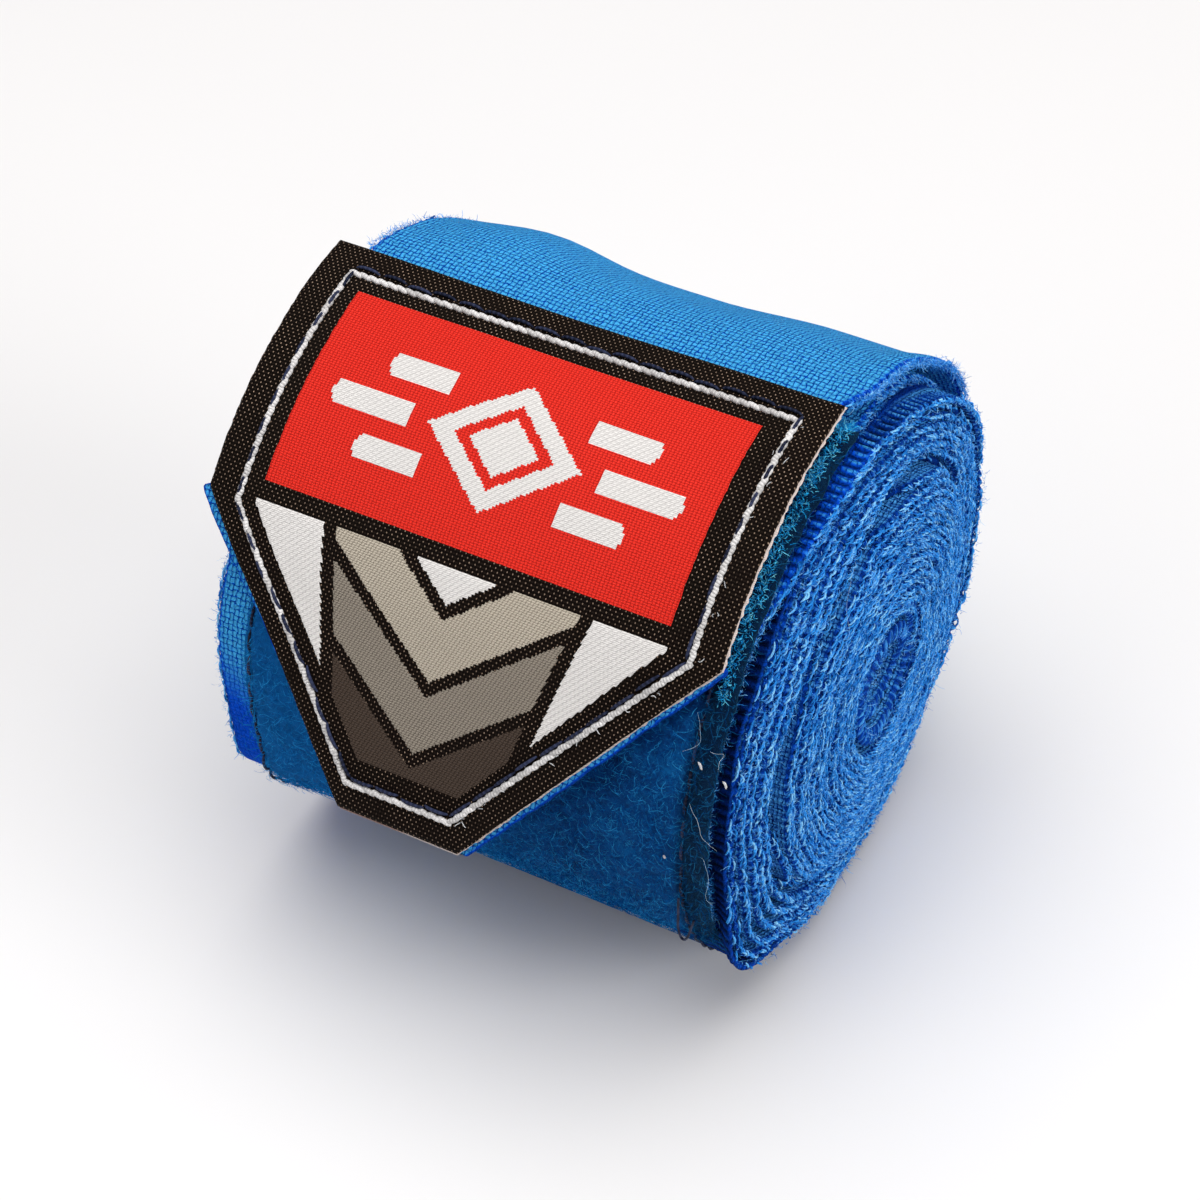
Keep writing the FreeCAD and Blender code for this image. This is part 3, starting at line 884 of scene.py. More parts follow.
def coil_edges(s):
    y, z = COIL_PATH.at(s, 0)
    dy, dz = y - AXIS_Y, z - AXIS_Z
    r = np.hypot(dy, dz)
    around = np.arctan2(dz, dy)
    place = noise(3 + 1.6 * np.cos(around), 3 + 1.6 * np.sin(around), 12)
    shift = dome(r + 0.9 * place * step(25.0, 23.0, r))
    own = 0.16 * noise(s / 23.0, 0.0, 13) + 0.12 * noise(s / 5.0, 0.0, 14)
    near = 0.25 * noise(dy / 5.0, dz / 5.0, 15)
    fade = 1 - step(COIL_PATH.length - 14, COIL_PATH.length, s)
    shift, own, near = 0.1 + (shift - 0.1) * fade, own * fade, near * fade
    behind = step(-20, 5, dy) * step(18, -4, dz)
    drawn = 1.25 * step(21, 25, r) * step(16, -4, dy) * step(-22, 2, dz)
    right = COIL_HIGH[0] + shift + own + near - 0.25 - 0.50 * behind - drawn
    left = COIL_LOW[0] + shift + own + near + 0.25
    # In the two grooves the third value drops: the knobs stand lower, fewer strands and hairs grow, and
    # strip paints shade there.
    at = r + 0.9 * place * step(25.0, 23.0, r)
    groove = step(19.3, 20.0, at) * step(21.2, 20.7, at) + step(25.1, 25.5, at) * step(26.3, 26.0, at)
    return left, right, 1 - 0.9 * groove


def coil_sway(s, x):
    """The coil's small waves, and its rim's sag at the lower front."""
    y, z = COIL_PATH.at(s, 0)
    r = np.hypot(y - AXIS_Y, z - AXIS_Z)
    phi = np.degrees(np.arctan2(z - AXIS_Z, AXIS_Y - y))
    sag = 3.4 * np.exp(-((phi + 33) / 16.0) ** 2) * step(21, 26.6, r)
    return 0.05 * noise(s / 1.9, x / 30.0, 16) + sag * step(BAND_R - 1.8, BAND_R + 0.8, x)


# What the hairs and strands of an edge need: its path, its edges and its stand-off
OUTER_BAND = (OUTER, outer_edges, billow)
COIL_BAND = (COIL_PATH, coil_edges, coil_sway)


def core_swell(s):
    """The loose first turns fluff out towards their edges."""
    core = 2 * math.pi * CORE_PITCH * CORE_TURNS ** 2 / 1.6
    return 1.45 * (1 - step(core * 0.75, core * 1.05, s))


def coil_piece(name, s0, s1, pitch, rung, caps, yarn):
    s = np.linspace(s0, s1, int((s1 - s0) / pitch) + 1)
    edges = coil_edges(s)
    obj = strip(name, COIL_PATH, s, edges, COARSE, coil_sway, rung, 0.45, caps, core_swell)
    for side in (1, -1):
        row = "%s_yarn_%s" % (name, "lr"[side > 0])
        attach(edge_strands(row, COIL_BAND, max(s0, YARN_START), s1, side, *yarn), "roll")
    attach(dress(obj, COIL), "roll")
    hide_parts("wrap_band_coil")


def make_coil():
    fine, coarse = (0.27, 0.085, 0.40), (0.36, 0.11, 0.62)
    core, middle = COIL_RIM_S * 0.30, COIL_RIM_S * 0.60
    coil_piece("coil_core", 0.0, core, 0.25, 0.14, (True, False), fine)
    coil_piece("coil_middle", core, middle, 0.25, 0.14, (False, False), fine)
    coil_piece("coil_outer", middle, COIL_RIM_S, 0.25, 0.14, (False, False), coarse)
    coil_piece("coil_rim", COIL_RIM_S, COIL_PATH.length, 0.11, 0.38, (False, True), coarse)


def edge_hairs(name, band, s_range, count, seed, side, spread):
    """Short fibres that stand off a selvage's knobs on one side of the roll."""
    path, edges, sway = band
    rng = np.random.RandomState(seed)
    s = rng.uniform(s_range[0], s_range[1], count)
    s = s[edges(s)[2] > rng.rand(count)]
    count = len(s)
    left, right, _ = edges(s)
    a = rng.uniform(-1.1, 1.1, count)
    n = HALF_T * np.sin(a)
    bulge = 0.32 * np.cos(a)
    x = right + bulge if side > 0 else left - bulge
    n = n + sway(s, x)
    y, z = path.at(s, n)
    lie = path.way(s, n, ds=0.1) * rng.normal(size=(count, 1))
    ways = np.array([0.6 * side, 0, 0]) + path.way(s, n, dn=0.1) * np.sin(a)[:, None] * 0.6
    ways = ways + lie * 1.2 + rng.normal(size=(count, 3)) * 0.45
    roots = np.stack([x, y, z], 1)
    lengths = rng.gamma(3.0, spread / 3.0, count)
    paths = curly(roots, ways, lengths, 0.42, 5, rng)
    hairs = ribbons(name, paths, 0.05, rng)
    return dress(hairs, FUZZ)


def edge_strands(name, band, s0, s1, side, pitch=0.36, radius=0.105, gaps=0.5):
    """The weft yarn where it turns back at a selvage: strands that lie along it."""
    path, edges, sway = band
    count = int((s1 - s0) / pitch)
    rng = np.random.RandomState(count)
    s = s0 + (np.arange(count) + rng.rand(count)) * (s1 - s0) / count
    kept = noise(s / 0.55, s / 7.0, 41) + 1 - gaps > 3 * rng.rand(count) * (1 - edges(s)[2])
    s = s[kept]
    count = len(s)
    t = np.linspace(-1, 1, 6)
    left, right, _ = edges(s)
    edge = right if side > 0 else left
    tall = rng.uniform(0.3, 1.0, count)[:, None]
    along = s[:, None] + rng.uniform(0.35, 0.85, count)[:, None] * t
    row = rng.uniform(-0.24, 0.24, count)[:, None]
    slant = rng.normal(0.14, 0.10, count)[:, None]
    n = row + slant * t + 0.10 * (t ** 2 - 0.4) * rng.normal(size=(count, 1))
    x = edge[:, None] + side * (0.34 * tall * (1 - t ** 2) - 0.04 - 0.9 * row ** 2)
    n = n + sway(along, x)
    y, z = path.at(along, n)
    strands = tubes(name, np.stack([x, y, z], -1), radius, 4, 0.5, rng.rand(count))
    return dress(strands, YARN)


def make_fuzz():
    total = COIL_PATH.length
    last = HINGES[0] - TAIL_SEGMENT / 2
    for name, band, end, count, seed, side, spread in (
        ("fuzz_right", COIL_BAND, total, 20000, 31, 1, 0.42),
        ("fuzz_left", COIL_BAND, total, 9000, 32, -1, 0.42),
        ("fuzz_rim_right", OUTER_BAND, last, 4800, 33, 1, 0.40),
        ("fuzz_rim_left", OUTER_BAND, last, 3200, 34, -1, 0.45),
    ):
        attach(edge_hairs(name, band, (0, end), count, seed, side, spread), "roll")


# ---------------------------------------------------------------- loop panel

PILE_L = PANEL_LOW[0] - 0.6
PILE_R = PANEL_HIGH[0] + 2.7
PILE_MARGIN = 0.9
PILE_TUCK = 3.0
PILE_N = HALF_T + SKIN_GAP


def pile_height(s, x):
    """The brushed surface, matted down along its edges and its seam."""
    edge = np.minimum(np.minimum(x - PILE_L, PILE_R - x),
                      np.minimum(s - PANEL_S0 + PILE_TUCK, PANEL_S1 - s + PILE_MARGIN))
    near = np.minimum(np.minimum(np.abs(x - PANEL_LOW[0]), np.abs(x - PANEL_HIGH[0] - 0.4)),
                      np.minimum(np.abs(s - PANEL_S0), np.abs(s - PANEL_S1)))
    seam = np.exp(-(near / 0.40) ** 2)
    body = step(0.0, 1.0, edge)
    rough = 0.16 * noise(s / 0.8, x / 0.8, 41) + 0.22 * noise(s / 2.7, x / 2.7, 42)
    thin = 0.75 * step(-12, -34, phi_on_front(s))
    return PILE_N + 0.25 + body * (0.62 + rough - thin) - 0.40 * seam * (1 - thin)


def closed_sheet(name, top, bottom, place):
    """A top and a bottom grid of points, joined round the edge."""
    rows, columns, _ = top.shape
    total = rows * columns
    faces = [grid_faces(rows, columns), grid_faces(rows, columns, first=total)[:, ::-1],
             rim_faces(rows, columns)]
    points = np.concatenate([top.reshape(-1, 3), bottom.reshape(-1, 3)])
    cloth = np.tile(np.stack(place, -1).reshape(-1, 2), (2, 1))
    return mesh_object(name, points, np.concatenate(faces), cloth)


def make_pile_base():
    s = np.linspace(PANEL_S0 - PILE_TUCK, PANEL_S1 + PILE_MARGIN, 190)
    across = np.linspace(PILE_L, PILE_R, 124)
    s, x = np.meshgrid(s, across, indexing="ij")
    ragged = 0.25 * noise(s / 1.1, x / 40, 43) * (np.abs(x - BAND_X) > 21)
    x = x + ragged
    heights = (pile_height(s, x), PILE_N)
    top, low = (np.stack([x, *OUTER.at(s, n + belly(s, x))], -1) for n in heights)
    base = dress(closed_sheet("loop_pile", top, low, (x, s)), PILE)
    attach(base, "roll")
    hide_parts("loop_panel")


def rim_faces(rows, columns):
    """Quads that join a top grid to the same grid below it, round the edge."""
    total = rows * columns
    ring = [i for i in range(columns)]
    ring += [r * columns + columns - 1 for r in range(1, rows)]
    ring += [(rows - 1) * columns + c for c in range(columns - 2, -1, -1)]
    ring += [r * columns for r in range(rows - 2, 0, -1)]
    ring = np.array(ring)
    after = np.roll(ring, -1)
    return np.stack([ring, ring + total, after + total, after], 1)


def pile_hairs(name, s0, s1, count, width, seed, xs, reach, material):
    """Brushed loops: long soft fibres that curl over each other."""
    rng = np.random.RandomState(seed)
    s = rng.uniform(s0, s1, count)
    x = rng.uniform(xs[0], xs[1], count)
    n = pile_height(s, x) - 0.25 + belly(s, x)
    up = OUTER.way(s, n, dn=0.1)
    ways = up * rng.uniform(0.3, 1.0, count)[:, None] + rng.normal(size=(count, 3)) * 0.7
    roots = np.stack([x, *OUTER.at(s, n)], 1)
    paths = curly(roots, ways, rng.uniform(*reach, count), 0.40, 7, rng)
    middle = np.array([0, AXIS_Y, AXIS_Z])
    flat = (paths - middle) * np.array([0, 1, 1])
    r = np.linalg.norm(flat, axis=2)
    loose = belly(s, x)[:, None]
    thin = 0.75 * step(-12, -34, phi_on_front(s))[:, None]
    keep = np.clip(r, ROLL_R + 0.35 + loose, ROLL_R + 1.40 + loose - thin) / r
    paths = middle * np.array([0, 1, 1]) + flat * keep[:, :, None] + paths * np.array([1, 0, 0])
    hairs = ribbons(name, paths, width, rng)
    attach(dress(hairs, material), "roll")


def stitch_paths(path, ends, lift, sink):
    """One bowed thread per stitch. ends is a list of (s, x, n) pairs."""
    t = np.linspace(0, 1, 9)
    bow = np.sin(np.pi * t) ** 0.5 * (lift + sink) - sink
    paths = []
    for (s0, x0, n0), (s1, x1, n1) in ends:
        s = s0 + (s1 - s0) * t
        x = x0 + (x1 - x0) * t
        y, z = path.at(s, n0 + (n1 - n0) * t + bow + belly(s, x))
        paths.append(np.stack([x, y, z], 1))
    return np.array(paths)


def seam(points, stitch, gap, rng, wobble=0.05):
    """Stitch ends along a line of (s, x, n) corner points."""
    ends = []
    for a, b in zip(points[:-1], points[1:]):
        a, b = np.array(a, float), np.array(b, float)
        pitch = stitch + gap
        count = max(1, int(round(np.hypot(*(b - a)[:2]) / pitch)))
        for i in range(count):
            share = np.array([[i + 0.5 * gap / pitch], [i + 1 - 0.5 * gap / pitch]]) / count
            pair = a + (b - a) * share
            pair[:, :2] += rng.normal(size=(2, 2)) * wobble
            ends.append(pair)
    return ends


def make_panel_seams():
    rng = np.random.RandomState(44)
    n = PILE_N + 0.55
    s0, s1 = PANEL_S0 - 0.1, PANEL_S1 + 0.1
    x0, x1 = PANEL_LOW[0], PANEL_HIGH[0] + 0.4
    rows = {
        "left": [(s0, x0, n), (s1, x0, n)],
        "right": [(s0, x1, n), (s1, x1, n)],
        "top": [(s0, x0, n), (s0, x1, n)],
        "bottom": [(s1, x0, n), (s1, x1, n)],
    }
    for side, line in rows.items():
        paths = stitch_paths(OUTER, seam(line, 2.3, 0.25, rng), 0.22, 0.15)
        threads = tubes("panel_seam_" + side, paths, 0.15, 6, 0.3)
        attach(dress(threads, NAVY), "roll")
        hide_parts("loop_panel_stitching_" + side)


def make_loop_panel():
    make_pile_base()
    third = (PANEL_S1 - PANEL_S0) / 3
    for i, count in enumerate((9000, 14000, 14000)):
        start = PANEL_S0 + i * third
        pile_hairs("loop_pile_hairs_%d" % (i + 1), start, start + third, count, 0.05, 45 + i,
                   (PILE_L, PILE_R), (1.0, 2.8), PILE_FUZZ)
    # The fringe hairs take a colour with painted light in it.
    pile_hairs("loop_pile_fringe", PANEL_S0 - 3.6, PANEL_S0 + 24, 2800, 0.08, 49,
               (PILE_R - 1.5, PILE_R - 0.8), (0.5, 1.1), FRINGE_LIT)
    pile_hairs("loop_pile_end_fringe", PANEL_S0 - 3.6, PANEL_S0 - 1.6, 700, 0.07, 50,
               (PILE_R - 6.0, PILE_R - 0.8), (0.5, 1.2), FRINGE_LIT)
    make_panel_seams()


# ---------------------------------------------------------------- the label

def grid_sheet(name, us, vs, top, bottom, half):
    """A closed sheet cut to the shield, its top a height or a function of u and v.

    us run from -1 to 1 across it."""
    v, share = np.meshgrid(vs, us, indexing="ij")
    u = share * half(v)
    if callable(top):
        top = top(u, v)
    return closed_sheet(name, on_label(u, v, top), on_label(u, v, bottom), (u, v)), u, v


def tip_curl(u, v):
    """A small uneven stand-off that all layers of the tab share."""
    return 0.20 * noise(u / 13.0, v / 13.0, 51) * step(0, 8, v)


RED_HALF = 20.3
RED_TOP = 5.4
RED_BOTTOM = 25.0
MARK_V = 15.2


def mark_shape(u, v):
    """A plain ornament: a rhombus between tapering bars."""
    w = np.abs(u)
    h = v - MARK_V
    rhombus = w / 7.6 + np.abs(h) / 6.2
    shape = (rhombus < 1) & ~((rhombus > 0.46) & (rhombus < 0.66))
    for level, reach in ((-4.1, 13.6), (0.0, 17.6), (4.1, 13.6)):
        off = np.abs(h - level)
        bar = (off < 1.15) & (w > 9.4 - abs(level) * 0.62) & (w < reach - 0.5 * off)
        shape |= bar & (rhombus > 1.22)
    return shape


def field(u, v):
    """Which field of the label each point is in, as a material number."""
    zone = np.zeros(np.shape(u), int)
    red = (np.abs(u) < RED_HALF) & (v > RED_TOP) & (v < RED_BOTTOM)
    zone[red] = 1
    zone[red & mark_shape(u, v)] = 2
    edge = shield_half(v) - BORDER - 2.2
    low = (v > RED_BOTTOM + 1.7) & (v < LINE_BOTTOM - 2.4) & (np.abs(u) < edge)
    depth = v - RED_BOTTOM - 1.7 + 0.78 * np.abs(u)
    column = 12.6 - 0.22 * (v - RED_BOTTOM)
    middle = low & (np.abs(u) < column)
    for start, end, number in ((4.6, 10.4, 3), (11.8, 17.2, 4), (18.6, 40, 5)):
        zone[middle & (depth > start) & (depth < end)] = number
    zone[low & (depth < 3.2)] = 2
    zone[low & (np.abs(u) > column + 1.3)] = 2
    return zone


def label_top(u, v):
    raised = np.array([0.0, 0.05, 0.10, 0.06, 0.06, 0.04])[field(u, v)]
    edge = shield_half(v) - np.abs(u)
    edge = np.minimum(edge, np.minimum(v, LABEL_H - v))
    return LABEL_N + LABEL_T * (0.55 + 0.45 * step(0, 0.5, edge)) + raised


def make_label():
    vs = np.linspace(0, LABEL_H, int(LABEL_H / CELL))
    us = np.linspace(-1, 1, int(LABEL_W / CELL))

    def ragged(v):
        return shield_half(v) + 0.06 * noise(v / 0.5, 0, 52)

    label, u, v = grid_sheet("woven_label", us, vs, label_top, LABEL_N, ragged)
    for material in (BLACK, RED, WHITE, SAND, GREY, BRONZE):
        label.data.materials.append(material)
    middle_u, middle_v = ((a[:-1, :-1] + a[1:, 1:]) / 2 for a in (u, v))
    numbers = np.zeros(len(label.data.polygons), np.int32)
    fields = field(middle_u, middle_v).ravel()
    numbers[:len(fields)] = fields
    label.data.polygons.foreach_set("material_index", numbers)
    on_tab(label, "label_upper", "label_lower")


def make_backing():
    """The label's pale under-side, seen as a thin frayed line at its edge."""
    vs = np.linspace(-0.22, LABEL_H + 0.25, 300)
    us = np.linspace(-1, 1, 60)

    def frayed(v):
        return shield_half(v, 0.15) + 0.10 * noise(v / 0.4, 0, 53)

    backing = grid_sheet("label_backing", us, vs, LABEL_N - 0.01, BACKING_N, frayed)[0]
    on_tab(dress(backing, BACK), "label_backing_upper", "label_backing_lower")


def outline(inset, extra=0.0):
    """The corners of the label's woven line, as (u, v)."""
    half = LABEL_W / 2 - inset
    tip = LINE_TIP_W / 2 + extra
    top = LINE_TOP - extra
    low = LINE_BOTTOM + extra
    return [(0.55 - half - extra, top), (half + 0.3 + extra, top),
            (half + 0.3 + extra, LINE_SIDE + extra * 0.5), (tip - 0.3, low), (-tip - 0.5, low),
            (0.35 - half - extra, LINE_SIDE + extra * 0.5), (0.55 - half - extra, top)]


def on_label(u, v, n):
    u, v = np.asarray(u, float), np.asarray(v, float)
    s = s_of(v)
    x = LABEL_X + u
    y, z = OUTER.at(s, n + billow(s, x) + tip_curl(u, v))
    return np.stack([x + 0 * y, y, z], -1)


def legs(corners):
    """The straight stretches of an outline, as (start, way, length)."""
    for start, end in zip(np.array(corners[:-1], float), np.array(corners[1:], float)):
        length = math.hypot(*(end - start))
        yield start, (end - start) / length, length


def make_woven_line():
    """The white line: short slanted floats, laid like the strands of a rope."""
    paths = []
    t = np.linspace(-0.74, 0.74, 7)
    rise = 0.02 + 0.10 * np.cos(t * 1.9)
    for start, way, length in legs(outline(LINE_INSET)):
        count = int(round(length / FLOAT_PITCH))
        sway = np.outer(t, way) + np.outer(0.12 * np.sin(t * 2.1), (-way[1], way[0]))
        for i in range(count):
            u, v = (start + way * length * (i + 0.5) / count + sway).T
            paths.append(on_label(u, v, SKIN_N + rise))
    line = tubes("woven_line", np.array(paths), 0.26, 8, 0.55)
    on_tab(dress(line, LINE))


def make_label_seam():
    """Navy thread sewn along the woven line, close beside it."""
    rng = np.random.RandomState(54)
    side = LABEL_W / 2 - LINE_INSET
    tip = LINE_TIP_W / 2
    corners = [(-side + 0.7, LINE_TOP - 0.70), (side + 0.45, LINE_TOP - 0.75),
               (side - 0.10, LINE_SIDE - 0.2), (tip - 0.5, LINE_BOTTOM - 0.5),
               (-tip - 0.2, LINE_BOTTOM - 0.5), (-side + 0.15, LINE_SIDE - 0.1),
               (-side + 0.7, LINE_TOP - 0.70)]
    paths = []
    t = np.linspace(0.04, 0.96, 9)
    rise = 0.36 * np.sin(np.pi * (t - 0.04) / 0.92) ** 0.5 - 0.06
    for start, way, length in legs(corners):
        count = int(round(length / STITCH_PITCH))
        for i in range(count):
            line = np.outer(way, length * (i + t) / count)
            u, v = line + (start + rng.normal(size=2) * 0.10)[:, None]
            paths.append(on_label(u, v, SKIN_N + rise))
    threads = tubes("label_seam", np.array(paths), 0.16, 6, 0.4)
    on_tab(dress(threads, NAVY), "label_stitching_upper", "label_stitching_lower")


def make_label_ticks():
    """Bobbin thread pulled up at the stitch holes: small pale tufts."""
    rng = np.random.RandomState(55)
    roots, ways = [], []
    for start, way, length in legs(outline(LINE_INSET, 0.30)[1:4]):
        count = int(length / STITCH_PITCH)
        for i in range(count):
            for j in range(rng.randint(1, 4)):
                u, v = start + way * length * (i + 0.5) / count + rng.normal(size=2) * 0.35
                here = on_label(u, v, SKIN_N + 0.05)
                roots.append(here)
                ways.append(on_label(u, v, SKIN_N + 0.3) - here + rng.normal(size=3) * 0.3)
    roots, ways = np.array(roots), np.array(ways)
    paths = curly(roots, ways, rng.uniform(0.4, 0.9, len(roots)), 0.5, 6, rng)
    ticks = tubes("label_ticks", paths, 0.045, 5, 0.5)
    on_tab(dress(ticks, PALE))


def make_hook_panel():
    vs = np.linspace(HOOK_START, LABEL_H + 0.05, 150)
    us = np.linspace(-1, 1, 60)
    left = LABEL_X - BAND_L

    def half(v):
        return np.minimum(shield_half(v, TAB_RIM * 0.8), left)

    panel = grid_sheet("hook_tape", us, vs, HOOK_N, HOOK_N - 0.35, half)[0]
    on_tab(dress(panel, HOOKS), "hook_panel_upper", "hook_panel_lower")
    make_hooks(half)


def make_hooks(half):
    rng = np.random.RandomState(56)
    paths = []
    t = np.linspace(0, 1, 7)
    for row, v in enumerate(np.arange(2.2, LABEL_H - 0.8, 1.25)):
        reach = float(half(np.array(v))) - 0.9
        for u in np.arange(-reach, reach, 1.2):
            lean = rng.uniform(-0.06, 0.06)
            flip = 1 if row % 2 else -1
            angle = np.pi * 0.95 * t
            out = 0.52 * np.sin(np.minimum(angle, np.pi / 2)) - 0.20 * (t > 0.62) * (t - 0.62) / 0.38
            along = flip * 0.17 * (1 - np.cos(angle))
            paths.append(on_label(u + lean + 0 * t, v + along, HOOK_N - 0.34 - out))
    hooks = tubes("hook_tape_hooks", np.array(paths), 0.06, 4, 0.3)
    on_tab(dress(hooks, HOOKS))


def make_tab():
    make_hook_panel()
    make_backing()
    make_label()
    make_woven_line()
    make_label_seam()
    make_label_ticks()


# ---------------------------------------------------------------- the core

TAPE_LAYERS = (HALF_T + 0.10, HALF_T + 0.64)


def tape_path():
    path = Section(CORE_ARCS, ease=0.3)
    return path, np.linspace(1.4, path.length - 1.8, 160)


def tape_length():
    """The length of the tape's two layers, one after the other."""
    path, s = tape_path()
    total = 0.0
    for n0 in TAPE_LAYERS:
        y, z = path.at(s, n0 + 0.18)
        total += float(np.sum(np.hypot(np.diff(y), np.diff(z))))
    return total


def make_thumb_loop():
    """The doubled tape wound into the core, with a woven surface."""
    low, high = box_mm("thumb_loop")
    x0, x1 = low[0], high[0]
    path, s = tape_path()
    layers = []
    for n0 in TAPE_LAYERS:
        ring = []
        for share, n in ((0, 0), (0, 0.36), (0.5, 0.40), (1, 0.36), (1, 0), (0.5, 0)):
            y, z = path.at(s, n0 + n)
            ring.append(np.stack([x0 + (x1 - x0) * share + 0 * s, y, z], -1))
        layers.append(np.stack(ring, 1))
    points = np.concatenate(layers)
    rows, around = len(s), 6
    end = np.array([[0, 1, 2, 5], [5, 2, 3, 4]])
    faces = []
    for first in (0, rows * around):
        last = first + (rows - 1) * around
        faces += [grid_faces(rows, around, closed=True, first=first), end + first, end[:, ::-1] + last]
    cloth = np.stack([points[..., 0], points[..., 1], np.ones(points.shape[:2])], -1)
    tape = mesh_object("thumb_loop_tape", points, np.concatenate(faces), cloth)
    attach(dress(tape, TAPE), "roll")
    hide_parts("thumb_loop")
    bar = frame["nodes"]["thumb_loop_stitching"]
    bar.data.materials.clear()
    bar.data.materials.append(NAVY)


# ---------------------------------------------------------------- loose ends

def loose_fibre(place, way, length, curl, points, rng):
    """One fibre from a place at (x, radius, angle) on the roll."""
    x, r, phi = place
    y, z = np.array([AXIS_Y, AXIS_Z]) + r * compass(phi)
    return curly(np.array([[x, y, z]]), np.array([way]), np.array([length]), curl, points, rng)[0]


def make_loose_ends():
    """A few pale hairs and specks of lint caught on the right of the roll."""
    rng = np.random.RandomState(61)
    hairs = [((COIL_HIGH[0] + 1.5, 24.5, 68), (0.1, 0.5, -0.85), 8.5),
             ((23.2, 30.0, 16), (0.3, -0.2, -0.9), 6.5), ((22.2, 30.0, 32), (0.2, -0.5, -0.8), 5.0),
             ((24.0, 29.6, 26), (0.6, 0.1, -0.6), 4.0), ((24.6, 29.4, 5), (0.5, 0.3, -0.8), 6.0)]
    paths = []
    for place, way, length in hairs:
        way = np.array(way) + rng.normal(size=3) * 0.1
        paths.append(loose_fibre(place, way, length, 0.16, 14, rng))
    lint = tubes("lint", paths, 0.010, 5, 0.4)
    specks = [((23.3, 30.1, 24), 0.9), ((25.4, 28.9, 21), 0.8), ((21.2, 29.9, 3.0), 0.4)]
    paths = [loose_fibre(place, (0.5, 0.1, -0.6), length, 0.2, 6, rng) for place, length in specks]
    specks = tubes("lint_specks", paths, 0.12, 6, 0.8)
    for obj, material in ((lint, LINT), (specks, PALE)):
        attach(dress(obj, material), "roll")


def make_thread_tail():
    """The cut end of the panel's seam, hanging in a small loop."""
    s = PANEL_S0 + FRONT_R * math.radians(PANEL_TOP + 8)
    x = PANEL_HIGH[0] + 0.4
    t = np.linspace(0, 1, 28)
    turns = [0, 0.3, 0.55, 0.75, 1]
    drop = np.interp(t, turns, [0, 3.0, 4.6, 4.2, 1.6])
    off = np.interp(t, turns, [0.5, 1.0, 1.7, 2.0, 1.1])
    side = np.interp(t, [0, 0.4, 0.6, 0.8, 1], [0, -0.1, 0.4, 1.2, 1.7])
    y, z = OUTER.at(s + drop, HALF_T + PANEL_T + off - 0.3)
    path = np.stack([x + side, y, z], -1)
    for i in range(3):
        path[2:-2, i] = np.convolve(path[:, i], np.ones(5) / 5, "valid")
    tail = tubes("thread_tail", path[None], 0.12, 6, 0.1)
    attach(dress(tail, NAVY), "roll")


# ---------------------------------------------------------------- the studio

AZIMUTH, ELEVATION, ROLL = 29.3, 43.5, -1.2
DISTANCE = 279.3
LENS = 86.0
SENSOR = 36


def make_camera():
    target = Vector((BAND_X - 1.36, AXIS_Y, AXIS_Z - 2.8))
    az, el = math.radians(AZIMUTH), math.radians(ELEVATION)
    back = Vector((math.sin(az) * math.cos(el), -math.cos(az) * math.cos(el), math.sin(el)))
    right = Vector((0, 0, 1)).cross(back).normalized()
    up = back.cross(right)
    c, s = math.cos(math.radians(ROLL)), math.sin(math.radians(ROLL))
    right, up = right * c + up * s, up * c - right * s
    place = (target + back * DISTANCE) * MM
    data = bpy.data.cameras.new("camera")
    data.lens = LENS
    data.sensor_width = SENSOR
    data.clip_start = 0.01
    camera = bpy.data.objects.new("camera", data)
    bpy.context.collection.objects.link(camera)
    axes = Matrix((right, up, back)).transposed()
    camera.matrix_world = Matrix.Translation(place) @ axes.to_4x4()
    bpy.context.scene.camera = camera


def area_light(name, place, target, size, watts, colour):
    """A disk of light. Its place, its target and its size are in metres."""
    data = bpy.data.lights.new(name, "AREA")
    data.shape = "DISK"
    data.size = size
    data.energy = watts
    data.color = colour
    light = bpy.data.objects.new(name, data)
    bpy.context.collection.objects.link(light)
    light.location = place
    way = Vector(target) - Vector(place)
    light.rotation_euler = way.to_track_quat("-Z", "Y").to_euler()


def make_floor():
    m = Shader("studio_floor")
    m.finish((0.88, 0.88, 0.875, 1), 0.9, specular=0.1)
    points = np.array([(-900, -900, 0), (900, -900, 0), (900, 900, 0), (-900, 900, 0)])
    floor = mesh_object("studio_floor", points, np.array([[0, 1, 2, 3]]))
    floor.data.materials.append(m.material)


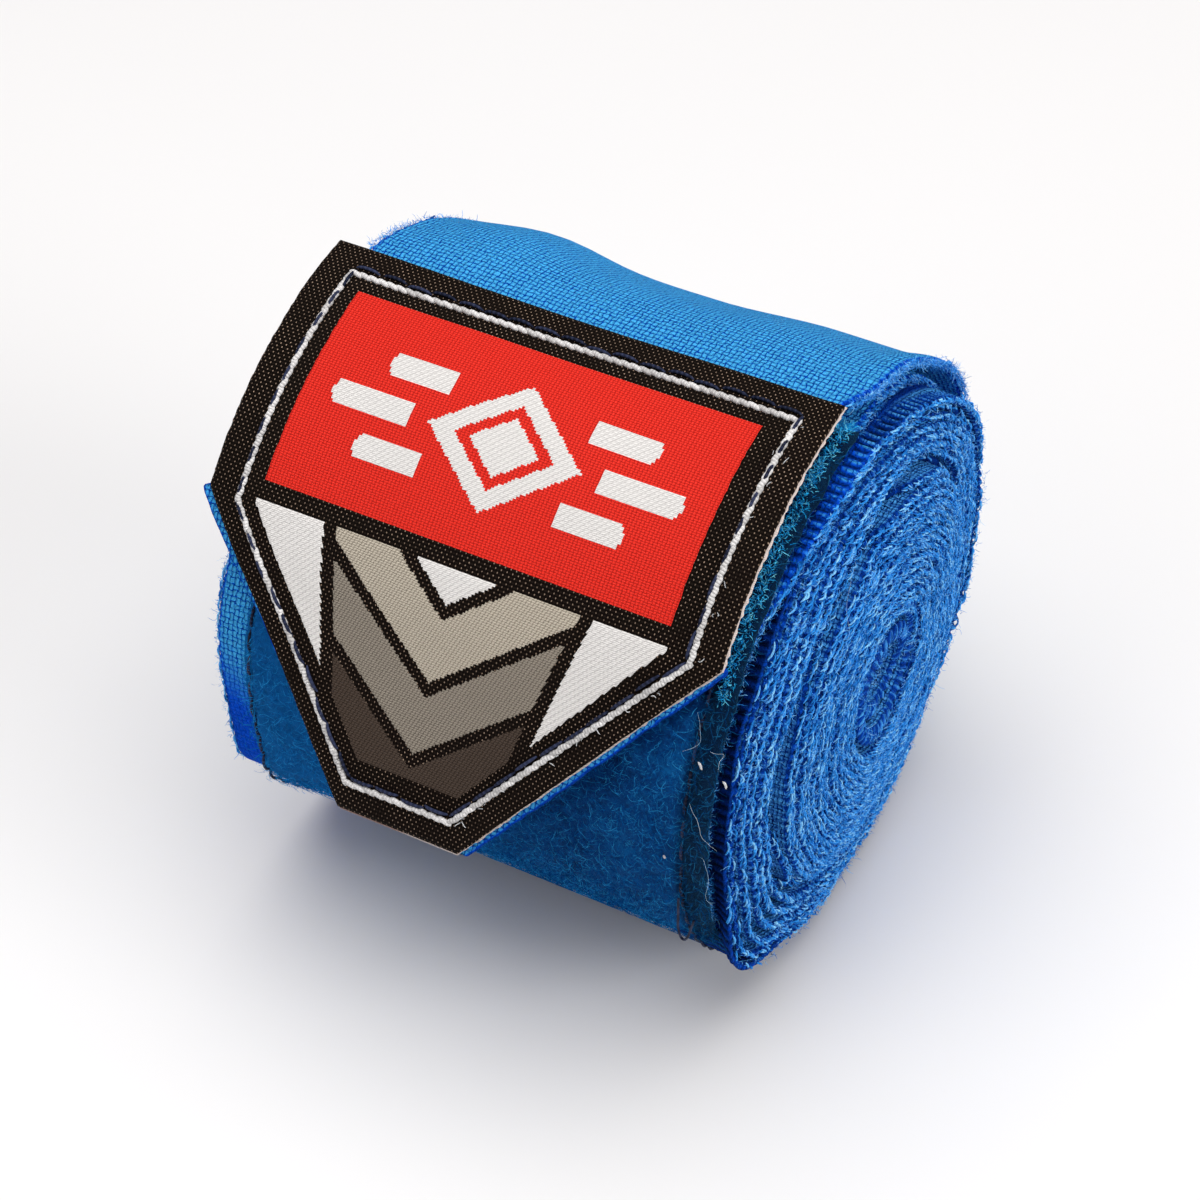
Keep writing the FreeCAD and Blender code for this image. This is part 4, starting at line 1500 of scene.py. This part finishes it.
def make_studio():
    make_floor()
    area_light("key", (-0.02, 0.03, 0.80), (0, 0, 0.02), 1.0, 6.9, (1.0, 0.985, 0.965))
    area_light("front_fill", (-0.25, -0.40, 0.38), (0, 0, 0.02), 0.5, 0.75, (0.98, 0.99, 1.0))
    area_light("side_fill", (1.09, 0.03, 0.37), (0.02, 0, 0.025), 0.7, 8.2, (1.0, 0.99, 0.985))
    world = bpy.data.worlds.new("studio")
    world.use_nodes = True
    sky = world.node_tree.nodes["Background"].inputs
    sky[0].default_value = (0.93, 0.84, 1.0, 1)
    sky[1].default_value = 0.105
    bpy.context.scene.world = world
    bpy.context.scene.view_settings.view_transform = "Standard"


make_camera()
make_studio()
make_coil()
make_outer_band()
make_loop_panel()
make_tab()
make_thumb_loop()
make_fuzz()
make_loose_ends()
make_thread_tail()


def declare_cloth():
    """Works out the size that each sheet of cloth was cut to, and what goes with it; sheet() passes them
    nowhere.
    """
    every = list(bpy.data.objects)

    def named(*starts):
        return [o for o in every if o.name.startswith(starts)]

    def sheet(length, area=None):
        if area is not None:
            area = area * MM * MM

    core, outer = COIL_RIM_S * 0.30, COIL_RIM_S * 0.40
    rim = COIL_PATH.length - COIL_RIM_S
    parts = {"coil_core": core, "coil_middle": core, "coil_outer": outer, "coil_rim": rim}
    for name, length in parts.items():
        going = named(name + "_yarn")
        if name == "coil_outer":
            going = going + named("fuzz_right", "fuzz_left")
        sheet(length)
    going = named("outer_yarn", "fuzz_rim", "tail_1_", "tail_2_", "tail_3_", "tail_4_")
    sheet(HINGES[0] - TAIL_SEGMENT / 2)
    shield = 2 * float(np.mean(shield_half(np.linspace(0, LABEL_H, 400)))) * LABEL_H
    length = LABEL_H + TIP_TRIM - TAB_START
    sheet(length, shield)
    sheet(LABEL_H - HOOK_START,
          shield * HOOK_SHARE)
    sheet(LABEL_H,
          shield)
    sheet(LABEL_H, shield)
    length = PANEL_S1 - PANEL_S0 + PILE_TUCK + PILE_MARGIN
    sheet(length)
    sheet(tape_length())


declare_cloth()
